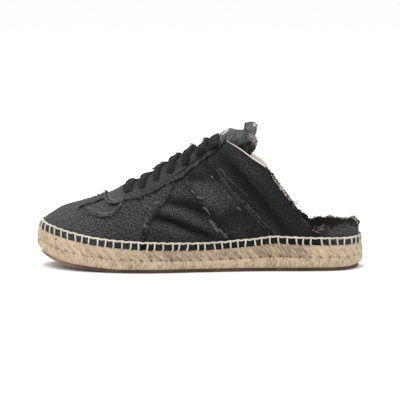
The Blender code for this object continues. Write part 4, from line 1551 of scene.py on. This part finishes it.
    def overlay_plan(self, share: Array) -> tuple[Array, Array]:
        """Places of the toe overlay's columns.

        Args:
            share: Share of the way from the sole to the top edge, in rows.

        Returns:
            Share of the length, and girth of the top edge.
        """
        last = self.last
        seam = Table((0.0, 0.314), (0.25, 0.330), (0.5, 0.350), (0.75, 0.391), (1.0, 0.420))
        foot = seam.at(np.array(0.0))
        straight = np.linspace(0, 1, 210)[None, :] * foot
        lean = np.clip((straight - last.stem_end) / (foot - last.stem_end), 0, 1)
        zigzag = noise(np.hstack([share, share * 0 + 5]), 0.09, 58)
        zigzag = zigzag + 0.8 * noise(np.hstack([share, share]), 0.03, 59)
        place = straight + lean * (seam.at(share) - foot) + 0.0042 * zigzag[:, None] * lean
        under_stay = last.stay_girth(place) - self.stay_gap / last.girth_length(place)
        top = np.where(place < 0.265, last.overlay_table.at(place), under_stay)
        closed = last.overlay_table.at(np.array(last.window_front))
        top = np.where(place < last.window_front, closed, top)
        return place, top + self.hems(place, 0 * place, 0.45 * MM, 51) * ease(0.095, 0.11, place)

    def overlay_tone(self, along: Array, girth: Array, sheet: Sheet) -> Array:
        """Lightness of the toe overlay, paler over the toe, with painted shadow along its window edges and
        its back edge, and painted crease light and shade.

        Args:
            along: Share of the length.
            girth: Girth on the section.
            sheet: The laid sheet.

        Returns:
            The lightness.
        """
        tone = 0.48 - 0.19 * ease(0.12, 0.30, along)
        tone = tone - 0.06 * ease(0.25, 0.0, girth)
        # Painted shadow along the windows' edges and along the ragged back edge
        lobe = ease(0.10, 0.13, along) * ease(0.285, 0.27, along)
        tone = tone - 0.42 * bell(sheet.edge, 1.3 * MM) * lobe
        ragged = noise(sheet.base, 2.4 * MM, 60) * 1.1 + 0.60 - sheet.edge / (3.2 * MM)
        tone = tone - 0.38 * ease(0.0, 0.4, ragged) * ease(0.28, 0.31, along)
        return tone + 0.06 * noise(sheet.base, 12 * MM, 57) + PaintedCreaseLight.spots(sheet.points)

    def stem(self) -> None:
        """Stem of the toe overlay along the ridge, between the windows."""
        last = self.last
        along = np.linspace(0, last.stem_end + 0.020, 130)
        closed = last.overlay_table.at(np.array(last.window_front))
        low = np.where(along < last.window_front, closed, last.window_table.at(along))
        low = low + self.hems(along, 0 * along, 0.45 * MM, 61) * ease(0.095, 0.11, along)
        turns = last.turn(along)
        share = np.linspace(0, 1, 16)[:, None]
        half = low + (1 - low) * share
        turn = np.hstack([-turns[::-1], turns[1:]]) * np.ones_like(share)
        girth = np.hstack([half[:, ::-1], half[:, 1:]])
        both = np.concatenate([along[::-1], along[1:]])
        sheet = Sheet(last, self.relief, turn, girth, Edge.LOW)
        sheet.edge = np.where(both < last.window_front, 1.0, sheet.edge)
        sheet.lay(self.lay_overlay, self.curl * 0.8, 63)
        wear = 0.6 * fade(sheet.edge, 0.8 * MM) * (0.7 + 0.6 * noise(sheet.base, 3 * MM, 65))
        self.close(sheet, "toe_stem_cloth", self.overlay_tone(both, girth, sheet), wear,
                   self.wall_overlay, "overlay_canvas", (self.palette.overlay,), "toe_overlay")
        for side in Side:
            pick = (both > last.window_front) & (turn[0] * side.value > 0)
            self.fringe_and_shadow_lines.edge(sheet.border(Edge.LOW, 2).where(pick), 5.0, 1.5 * MM, 0.5)
        ridge = (turns.size - 1) + np.flatnonzero((along > 0.155) & (along < 0.235))
        up = sheet.normal[-1][ridge]
        self.fringe_and_shadow_lines.edge(Border(sheet.points[-1][ridge], up, up), 9.0, 1.7 * MM, 0.5, 0.9, 1.5)

    def side_patches(self) -> None:
        """Slanted panel on each side, from the sole to the eyestay."""
        last = self.last
        front = Table((0.0, 0.602), (0.25, 0.538), (0.5, 0.497), (0.75, 0.472), (1.0, 0.462))
        back = Table((0.0, 0.735), (0.25, 0.651), (0.5, 0.584), (0.75, 0.538), (1.0, 0.512))
        share = np.linspace(0, 1, 70)[:, None]
        step = np.linspace(0, 1, 46)[None, :]
        start, end = front.at(share), back.at(share)
        ripple = noise(np.hstack([share, share * 0 + 3]), 0.06, 71)[:, None]
        place = start + (end - start) * step + 0.0030 * ripple * (1 - 2 * step)
        top = last.stay_girth(np.minimum(place, last.corner)) - self.stay_gap / last.girth_length(place)
        for side in Side:
            name = side.name.lower()
            sheet = Sheet(
                last, self.relief, side.value * last.turn(place), top * share, Edge.START, Edge.END
            )
            sheet.lay(self.lay_overlay * 0.8, self.curl * 0.7, 73)
            wear = 0.50 * fade(sheet.edge, 0.9 * MM) * (0.6 + 0.9 * noise(sheet.base, 3 * MM, 75))
            self.close(sheet, f"side_patch_cloth_{name}", self.patch_tone(sheet, side), wear,
                       self.wall_overlay * 0.8, "patch_canvas", (self.palette.patch,),
                       f"side_patch_{name}")
            front_edge, back_edge = sheet.borders()
            self.fringe_and_shadow_lines.edge(front_edge, 2.6, 1.4 * MM, 0.22, 1.1)
            self.fringe_and_shadow_lines.edge(back_edge, 2.6, 1.4 * MM, 0.22, 1.1)
            self.fringe_and_shadow_lines.trail(front_edge, 0.10, 0.40, 3, 1.2 * MM)
            self.fringe_and_shadow_lines.trail(back_edge, 0.25, 0.45, 3, 1.6 * MM)
            self.fringe_and_shadow_lines.trail(back_edge, 0.50, 0.80, 3, 1.6 * MM)

    @staticmethod
    def patch_tone(sheet: Sheet, side: Side) -> Array:
        """Lightness of a side patch, paler in its upper half, with painted shadow along its edges.

        Args:
            sheet: The laid sheet.
            side: Which side it is on.

        Returns:
            The lightness.
        """
        _, v = seen(sheet.points * np.array([1, -side.value, 1]))
        bound = v + 1.2 * noise(sheet.base, 6 * MM, 76)
        pale = ease(45.0, 62.0, bound) * (1 - ease(72.0, 76.0, bound))
        tone = 0.085 + 0.245 * pale + 0.08 * noise(sheet.base, 9 * MM, 74)
        tone = tone + PaintedCreaseLight.spots(sheet.points)
        # Painted shadow along the patch's edges, broken up by noise
        shadow_breakup = 0.7 + 0.8 * noise(sheet.base, 4 * MM, 77)
        return tone - 0.30 * bell(sheet.edge, 1.2 * MM) * shadow_breakup

    def frays_and_shadow_lines(self) -> None:
        """Loose threads placed one by one, and clumps between the rows of the lace."""
        # Some dark bundles in the list are painted shadow lines along edges and seams
        for fray in FRAYS_AND_SHADOW_LINES:
            self.fringe_and_shadow_lines.bundle(fray, self.last, self.relief, 2.2 * MM)
        ridge = np.array([1.0])
        for x, lift in ((-39.5, 1.6), (-32.0, 1.9), (-19.0, 1.8), (-5.5, 1.9), (6.0, 1.4)):
            turn = self.last.turn(np.array([x * MM / self.last.length + 0.5]))
            root = self.last.skin(turn, ridge, np.array([lift * MM]))[0]
            self.fringe_and_shadow_lines.tuft(root, self.last.outward(turn, ridge)[0], 2.2 * MM)

    def tongue(self) -> None:
        """Tongue under the lace, rumpled and frayed at its free end."""
        last = self.last
        along = np.linspace(0.238, 0.680, 160)
        across = np.linspace(-1, 1, 81)[:, None]
        gap = np.abs(across) * last.tongue_width / 2 * last.tongue_table.at(along)
        end_cut = Table(
            (0.0, 0.002), (0.30, 0.0), (0.50, 0.003), (0.60, 0.007), (0.74, 0.000), (0.88, 0.007),
            (1.0, 0.030),
        )
        cut = along - end_cut.at(np.abs(across)) * ease(0.60, 0.67, along)
        turn = np.sign(across + 1e-9) * last.turn(cut)
        sheet = Sheet(last, self.relief, turn, last.gap_girth(cut, gap), Edge.LOW, Edge.HIGH, Edge.END)
        free = ease(0.56, 0.62, along)
        folds = self.folds(sheet.base, free)
        sheet.press(self.tongue_lift(along, across, free) + folds)
        # Painted light and shade: lighter on the raised rumples, darker in their dips
        tone = 0.42 + 0.30 * noise(sheet.base, 5 * MM, 81) + 0.14 * folds / MM
        tone = tone + 0.26 * noise(sheet.base, 1.8 * MM, 87)
        x, v = seen(sheet.base)
        tone = tone + 0.14 * ease(112.0, 119.0, v) - 0.45 * ease(114.0, 106.0, v) * ease(30.0, 36.0, x)
        self.close(sheet, "tongue_cloth", tone, self.tongue_wear(sheet, along, across, free),
                   self.wall_tongue, "tongue_canvas", (self.palette.tongue,), "tongue")
        for border in sheet.borders():
            keep = border.points[:, 0] > 24 * MM
            if keep.sum() > 3:
                self.fringe_and_shadow_lines.edge(border.where(keep), 2.5, 1.2 * MM, 0.45)

    @staticmethod
    def tongue_lift(along: Array, across: Array, free: Array) -> Array:
        """Lift of the tongue without its rumples."""
        tuck = -1.2 * MM * ease(0.45, 0.75, np.abs(across)) * (1 - free)
        dip = -4.6 * MM * ease(0.588, 0.622, along) * (1 - ease(0.630, 0.641, along))
        swell = 2.4 * MM * ease(0.553, 0.566, along) * (1 - ease(0.588, 0.612, along))
        swell = swell * ease(0.70, 0.35, np.abs(across))
        roll = 0.7 * MM * ease(0.628, 0.642, along) - 3.2 * MM * ease(0.662, 0.684, along) ** 2
        return -2.5 * MM + tuck + dip + roll + swell

    @staticmethod
    def tongue_wear(sheet: Sheet, along: Array, across: Array, free: Array) -> Array:
        """Faded patch, turned corner and pale sliver at the tongue's top.

        Args:
            sheet: The laid sheet.
            along: Share of the length.
            across: Place across, from -1 to 1.
            free: How free of the lace it is.

        Returns:
            The wear.
        """
        x, _ = seen(sheet.base)
        patch = bell(along - 0.670, 0.011) * bell(across + 0.24, 0.24)
        patch = patch * (0.85 + 0.7 * noise(sheet.base, 3 * MM, 86))
        turned = np.exp(-(((across + 0.72) / 0.17) ** 4)) * ease(0.650, 0.664, along)
        sliver = np.exp(-(((x - 22.0) / 4.6) ** 4))
        sliver = sliver * ease(-0.27, -0.22, across) * ease(-0.09, -0.14, across)
        return 0.72 * patch + 0.20 * fade(sheet.edge, 1.4 * MM) * free + 0.44 * turned + 0.80 * sliver

    @staticmethod
    def folds(points: Array, free: Array) -> Array:
        """Rumples of the tongue's free end."""
        wave = noise(points, 9 * MM, 83) * 2.2 + noise(points, 4 * MM, 84) * 1.0
        return wave * MM * (0.25 + 0.75 * free)


@dataclass
class Lace:
    """Flat cotton lace through seven pairs of eyelets."""

    last: Last
    relief: Relief
    finish: CanvasFinish
    width: float = 6.9 * MM
    depth: float = 2.9 * MM
    over: float = 2.6 * MM

    def crossing(self, row: int, side: int) -> tuple[Array, Array]:
        """Course of the lace from one eyelet over to the next row's, and its outward directions.

        Args:
            row: Row that it starts at.
            side: -1 from the lateral side, 1 from the medial side.

        Returns:
            Points and normals.
        """
        last = self.last
        marks = np.linspace(last.first_row, last.last_row, last.rows)
        pitch = marks[1] - marks[0]
        here, there = marks[row], marks[row] + pitch
        hole, strip = self.hole(here)
        mid = here + 0.5 * pitch
        stack = 0.9 * MM if side < 0 else -0.5 * MM
        ways = [
            (side, here - 0.12 * pitch, hole - 0.05 * strip, -1.5 * MM),
            (side, here, hole, 0.7 * MM),
            (side, here + 0.10 * pitch, hole + 0.28 * strip, self.over + 0.3 * MM),
            (side, here + 0.24 * pitch, self.edge(here + 0.24 * pitch), self.over),
            (1, mid, 1.0, stack),
            (-side, here + 0.76 * pitch, self.edge(here + 0.76 * pitch) + 0.03, -1.6 * MM),
            (-side, there - 0.12 * pitch, self.edge(there) - 0.05, -3.6 * MM),
        ]
        return self.smooth(ways)

    def bar(self, along: float, lift: float) -> tuple[Array, Array]:
        """Straight run of the lace across the throat.

        Args:
            along: Where it lies, as a share of the length.
            lift: Its height over the throat.

        Returns:
            Points and normals.
        """
        hole, strip = self.hole(along)
        edge = self.edge(along)
        half = [
            (hole - 0.03, -1.5 * MM), (hole, 0.8 * MM), (hole + 0.3 * strip, self.over), (edge, lift),
        ]
        ways = [(-1, along, girth, height) for girth, height in half]
        ways.append((1, along, 1.0, lift))
        ways.extend((1, along, girth, height) for girth, height in reversed(half))
        return self.smooth(ways)

    def hole(self, along: float) -> tuple[float, float]:
        """Girth of the eyelet at a share of the length, and girth across the eyestay there."""
        return float(self.last.hole_girth(np.array(along))), float(self.last.strip(np.array(along)))

    def edge(self, along: float) -> float:
        """Girth of the throat's edge."""
        return float(self.last.throat_girth(np.array(along)))

    def smooth(self, ways: Sequence[tuple[int, float, float, float]]) -> tuple[Array, Array]:
        """Rounded course through places."""
        last = self.last
        turn = np.array([way[0] * float(last.turn(np.array(way[1]))) for way in ways])
        girth = np.array([min(way[2], 1.0) for way in ways])
        lift = np.array([way[3] for way in ways]) + self.relief.at(turn, girth)
        return rounded(last.skin(turn, girth, lift)), rounded(last.outward(turn, girth))

    def band(self, name: str, course: tuple[Array, Array], seed: int,
             wide: float = 1.0) -> bpy.types.Object:
        """Flattened band along a course.

        Args:
            name: Name of the mesh.
            course: Points and outward directions.
            seed: Which small waves it has.
            wide: Factor on its width.

        Returns:
            The mesh.
        """
        path, normal = course
        ahead = unit(np.gradient(path, axis=0))
        across = unit(np.cross(ahead, normal))
        above = np.cross(across, ahead)
        share = np.linspace(0, 1, len(path))
        swell = (0.74 + 0.26 * ease(0.0, 0.18, share)) * (1 - 0.42 * ease(0.36, 0.80, share))
        swell = wide * swell * (1 + 0.08 * noise(path, 4 * MM, seed))
        angle = np.linspace(0, 2 * math.pi, 19)
        cos = np.sign(np.cos(angle)) * np.abs(np.cos(angle)) ** 0.8
        sin = np.sign(np.sin(angle)) * np.abs(np.sin(angle)) ** 0.9
        side = across[:, None] * (cos * self.width / 2)[None, :, None] * swell[:, None, None]
        rise = above[:, None] * (sin * self.depth / 2)[None, :, None]
        points = path[:, None] + side + rise * (1.25 - 0.25 * swell[:, None, None] / wide)
        run = np.concatenate([[0], np.cumsum(np.linalg.norm(np.diff(path, axis=0), axis=1))])
        turn = angle / (2 * math.pi) * 14 * MM
        uv = np.stack(np.broadcast_arrays(turn, run[:, None]), -1)
        tone = 0.40 + 0.20 * noise(points, 3 * MM, seed + 1)
        return Bench.grid(name, points, uv, {"tone": tone, "wear": 0 * tone})

    def build(self) -> None:
        """Make every crossing and join them."""
        parts = [self.band("lace_bar", self.bar(self.last.first_row - 0.004, 0.6 * MM), 5)]
        for row in range(self.last.rows - 1):
            for side in (1, -1):
                parts.append(self.band(f"lace_{row}_{side}", self.crossing(row, side), 7 * row + side))
        parts.append(self.band("lace_top", self.bar(self.last.last_row + 0.001, 0.1 * MM), 6, 1.5))
        Bench.select(parts[0])
        for part in parts[1:]:
            part.select_set(True)
        bpy.ops.object.join()
        item = bpy.context.object
        Bench.edit(item, bpy.ops.mesh.normals_make_consistent, inside=False)
        item.name = "lace_cloth"
        Bench.smooth(item, 80)
        Bench.paint(item, self.finish.build())
        Bench.dress(item, "lace_cloth", "lace")


@dataclass
class JuteSole:
    """Braided sole: a row of slanted strands over a row of upright ones."""

    last: Last
    finish: JuteFinish = JuteFinish()
    pitch: float = 8.6 * MM
    bulge: float = 1.6 * MM
    steps: int = 15
    side_rows: int = 34
    base: float = 3.3 * MM
    seam: float = 0.46

    def build(self) -> None:
        """Make the braid."""
        points, uv, values = self.braid()
        item = Bench.grid("jute_braid", points, uv, values)
        Bench.edit(item, bpy.ops.mesh.normals_make_consistent, inside=False)
        Bench.smooth(item, 75)
        Bench.paint(item, self.finish.build())
        Bench.dress(item, "jute_braid", "jute_sole")

    def braid(self) -> tuple[Array, Array, dict[str, Array]]:
        """Surface of the braid.

        Returns:
            Its points, their texture places, the painted shade of the hollows and the tint of each strand.
        """
        last = self.last
        _, outline = last.even_turns(8)
        strands = round(outline / self.pitch)
        count = strands * self.steps
        turns, _ = last.even_turns(count)
        turn = np.concatenate([turns, [math.pi]])
        height, inset, lean = (column[:, None] for column in self.profile())
        phase = np.arange(count + 1)[None, :] / self.steps + 0 * height
        top = ease(self.seam - 0.02, self.seam + 0.02, height)
        high_phase, low_phase = phase - lean, phase * 2 + (height - 0.2) * 1.1
        high_form, high_shade = self.strand(high_phase, strands, 1)
        low_form, low_shade = self.strand(low_phase, strands * 2, 2)
        form = (0.55 + low_form * 0.45) * (1 - top) + high_form * top
        shade = low_shade * (1 - top) + high_shade * top
        groove = bell(height - self.seam, 0.045)
        rim = ease(1.0, 0.93, height)
        relief = (1.5 * (form - 0.6) * (0.45 + 0.55 * rim) - 0.35 * groove) * MM
        points = self.lay(turn[None, :] + 0 * height, height, inset, relief)
        # Painted shade in the groove between the rows, in the gaps between strands and at the lower edge
        gaps = ease(0.75, 0.15, high_form) * top * (0.55 + 0.45 * ease(0.25, 0.0, height - self.seam))
        hollow_shade = 0.52 * groove + 0.85 * gaps + 0.18 * ease(0.4, 0.0, low_form) * (1 - top)
        hollow_shade = hollow_shade + 0.35 * ease(0.10, 0.0, height)
        along = last.along(turn)
        middle = ease(0.18, 0.40, along) * ease(0.92, 0.75, along)
        hollow_shade = np.clip(hollow_shade + 0.10 * middle * top, 0, 1)
        shade = shade - 2.0 * middle * top + 0.8 * ease(0.90, 0.97, along)
        slant = np.where(height > self.seam, high_phase, low_phase / 2) * self.pitch
        uv = np.stack([slant + 0 * height, height * 22 * MM + 0 * slant], -1)
        return points, uv, {"hollow_shade": hollow_shade, "shade": shade}

    def lay(self, turn: Array, height: Array, inset: Array, relief: Array) -> Array:
        """Points of the braid.

        Args:
            turn: Turn round the sole.
            height: Share of the jute's height.
            inset: Inset of the section, as a factor on the bulge.
            relief: How far the strands stand out.

        Returns:
            The points.
        """
        last = self.last
        wave = noise(np.stack([np.cos(turn), np.sin(turn)], -1), 0.08, 91) * 0.25 * MM
        flat = last.inset_outline(turn, inset * self.bulge - relief - wave)
        low = last.bottom(flat[..., 0]) + self.base
        rise = last.top(flat[..., 0]) - low
        lift = np.where(height >= 0.999, relief * 0.6, 0)
        z = low + np.clip(height, 0, 1) * rise + lift
        return np.concatenate([flat, z[..., None]], -1)

    def profile(self) -> tuple[Array, Array, Array]:
        """Section of the side from the inner lower edge to the inner upper one.

        Returns:
            Share of the height, inset as a factor on the bulge, and lean of the strands.
        """
        side = Table(
            (0.0, 1.2), (0.10, 0.35), (0.24, 0.0), (0.46, 0.15), (0.70, 0.0), (0.90, 0.35), (1.0, 1.1)
        )
        lean = Table((0.0, 0.0), (0.46, 0.0), (0.70, 0.42), (1.0, 1.0))
        height = np.linspace(0, 1, self.side_rows)
        inner, outer = np.linspace(5.5, 2.2, 3), np.linspace(1.7, 5.5, 7)
        return (
            np.concatenate([np.zeros(3), height, np.ones(7)]),
            np.concatenate([inner, side.at(height), outer]),
            np.concatenate([np.zeros(3), lean.at(height), 1.0 + np.linspace(0.02, 0.35, 7)]),
        )

    @staticmethod
    def strand(phase: Array, strands: int, seed: int) -> tuple[Array, Array]:
        """Rounded form of strands."""
        number = np.floor(phase)
        part = phase - number
        cell = np.mod(number, strands)
        shift = 0.10 * hashed(cell[..., None], seed)
        form = np.sqrt(np.clip(1 - (2 * np.clip(part, 0, 1) - 1) ** 2, 0, 1))
        return form * (1 + shift), hashed(cell[..., None], seed + 5)


@dataclass
class Outsole:
    """Rubber sheet and footbed, shown as their own CAD nodes."""

    nodes: dict[str, bpy.types.Object]

    def build(self) -> None:
        """Give both nodes their finish."""
        looks = (
            ("outsole", RubberFinish(), "outsole_rubber"),
            ("insole", JuteFinish("footbed"), "lining_cloth"),
        )
        for name, finish, slot in looks:
            node = self.nodes[name]
            Bench.paint(node, finish.build())
            log.info("%s: %d faces", name, len(node.data.polygons))


@dataclass
class BlanketStitch:
    """Thread round the foot of the upper, with a leg down to the jute at every stitch."""

    last: Last
    relief: Relief
    finish: ThreadFinish
    rise: float = 6.6 * MM
    radius: float = 0.78 * MM
    pitch: float = 7.3 * MM
    steps: int = 10
    leg_points: int = 7
    tilt: float = 0.0016

    def build(self) -> None:
        """Make the rail and its legs."""
        random = np.random.default_rng(5)
        _, outline = self.last.even_turns(8)
        count = round(outline / self.pitch)
        fine, _ = self.last.even_turns(count * self.steps)
        knots = (np.arange(count) + random.uniform(-0.12, 0.12, count)) / count
        marks = np.arange(count * self.steps + 1) / (count * self.steps)
        share = np.linspace(0, 1, count * self.steps + 1)
        turn = np.interp(share, marks, np.append(fine, math.pi))
        near = np.array([np.abs(knots - s).argmin() for s in share])
        phase = (share - knots[near]) * count
        sag = 0.55 * MM * np.clip(np.abs(phase) * 2, 0, 1) ** 1.5
        waves = 0.3 * MM * noise(share[:, None] * np.ones(2), 0.03, 6)
        rail = self.course(turn, self.rise - sag + 0.35 * MM * phase + waves, 0.55 * MM)
        lines, widths = [rail], [1.0 + 0.1 * noise(rail, 3 * MM, 8)]
        for knot in knots:
            lines.append(self.leg(float(np.interp(knot, share, turn)), random.uniform(-self.tilt, self.tilt)))
            widths.append(np.linspace(1.05, 0.85, self.leg_points))
        item = Bench.strands("blanket_stitch", lines, widths, self.radius, 2)
        Bench.smooth(item, 80)
        Bench.paint(item, self.finish.build())
        Bench.dress(item, "lining_cloth")

    def leg(self, turn: float, tilt: float) -> Array:
        """Thread from the rail down to the jute."""
        s = np.linspace(0, 1, self.leg_points)
        way = self.course(turn + s * tilt * 6, self.rise * (1 - s) + 0.4 * MM, 0.75 * MM + s * 0.3 * MM)
        root = self.last.inset_outline(np.array(turn + tilt * 6), np.array(2.3 * MM))
        foot = np.array([root[0], root[1], self.last.top(np.array(root[0])) - 0.9 * MM])
        return np.vstack([way[:-1], foot])

    def course(self, turn: Array, height: Array, lift: Array) -> Array:
        """Points on the upper's foot."""
        turn = np.asarray(turn, float)
        along = self.last.along(turn)
        x = self.last.section(along).x
        girth = self.last.height_girth(along, self.last.top(x) + height)
        return self.last.skin(turn, girth, lift + self.relief.at(turn, girth) + 1.2 * MM)


# Where the lamps point
LAMP_AIM = (0, 0, 0.05)


@dataclass
class Studio:
    """Camera, pale floor and soft light."""

    distance: float = 2.0
    elevation: float = 6.5
    aim: tuple[float, float, float] = (0.0002, 0.0, 0.058)
    lens: float = 205.7
    sensor: float = 36.0

    def build(self) -> None:
        """Add them all."""
        self.camera()
        self.floor()
        self.lights()

    def camera(self) -> None:
        """Camera at the photo's angle."""
        tilt = math.radians(self.elevation)
        aim = Vector(self.aim)
        place = aim + Vector((0, -math.cos(tilt), math.sin(tilt))) * self.distance
        bpy.ops.object.camera_add(location=place, rotation=(math.pi / 2 - tilt, 0, 0))
        camera = bpy.context.object
        camera.data.lens = self.lens
        camera.data.sensor_width = self.sensor
        bpy.context.scene.camera = camera

    def floor(self) -> None:
        """Plain pale floor."""
        Bench.clear()
        bpy.ops.mesh.primitive_plane_add(size=40)
        floor = bpy.context.object
        floor.name = "floor"
        g = Graph("floor")
        floor.data.materials.append(g.finish((0.95, 0.95, 0.95, 1.0), 0.9, None))

    def lights(self) -> None:
        """Large soft lamps and a white surround."""
        world = bpy.data.worlds.new("studio")
        world.use_nodes = True
        sky = world.node_tree.nodes["Background"]
        sky.inputs["Color"].default_value = (1.0, 1.0, 1.0, 1.0)
        sky.inputs["Strength"].default_value = 1.03
        bpy.context.scene.world = world
        bpy.context.scene.view_settings.view_transform = "Standard"
        self.lamp("key", (-0.7, -1.1, 1.9), 1.4, 16.0)
        self.lamp("top", (-0.2, 0.3, 2.2), 1.6, 26.0)

    @staticmethod
    def lamp(name: str, place: tuple[float, float, float], size: float, power: float) -> None:
        """One square soft lamp aimed at the shoe.

        Args:
            name: Name of the lamp.
            place: Where it hangs.
            size: Side of the square.
            power: Its power in watts.
        """
        bpy.ops.object.light_add(type="AREA", location=place)
        lamp = bpy.context.object
        lamp.name = name
        lamp.data.size = size
        lamp.data.energy = power
        ray = Vector(LAMP_AIM) - Vector(place)
        lamp.rotation_euler = ray.to_track_quat("-Z", "Y").to_euler()


def main() -> None:
    """Build the looks of the shoe in order."""
    logging.basicConfig(level=logging.INFO)
    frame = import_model()
    last = Last()
    relief = Relief(last)
    palette = Palette()
    fringe_and_shadow_lines = FringeAndShadowLines()
    Outsole(frame["nodes"]).build()
    JuteSole(last).build()
    cloth = ClothPieces(last, relief, palette, fringe_and_shadow_lines)
    cloth.upper()
    cloth.lining()
    cloth.tongue()
    cloth.overlay()
    cloth.eyestay()
    cloth.side_patches()
    cloth.frays_and_shadow_lines()
    Lace(last, relief, palette.lace).build()
    BlanketStitch(last, relief, palette.stitch).build()
    fringe_and_shadow_lines.build(DARK, palette.dark_fibre_and_shadow_line, "upper_canvas")
    fringe_and_shadow_lines.build(LIGHT, palette.light_fibre, "lining_cloth")
    fringe_and_shadow_lines.build(PINK, palette.pink_fibre, "lining_cloth")
    Studio().build()


if __name__ == "__main__":
    main()
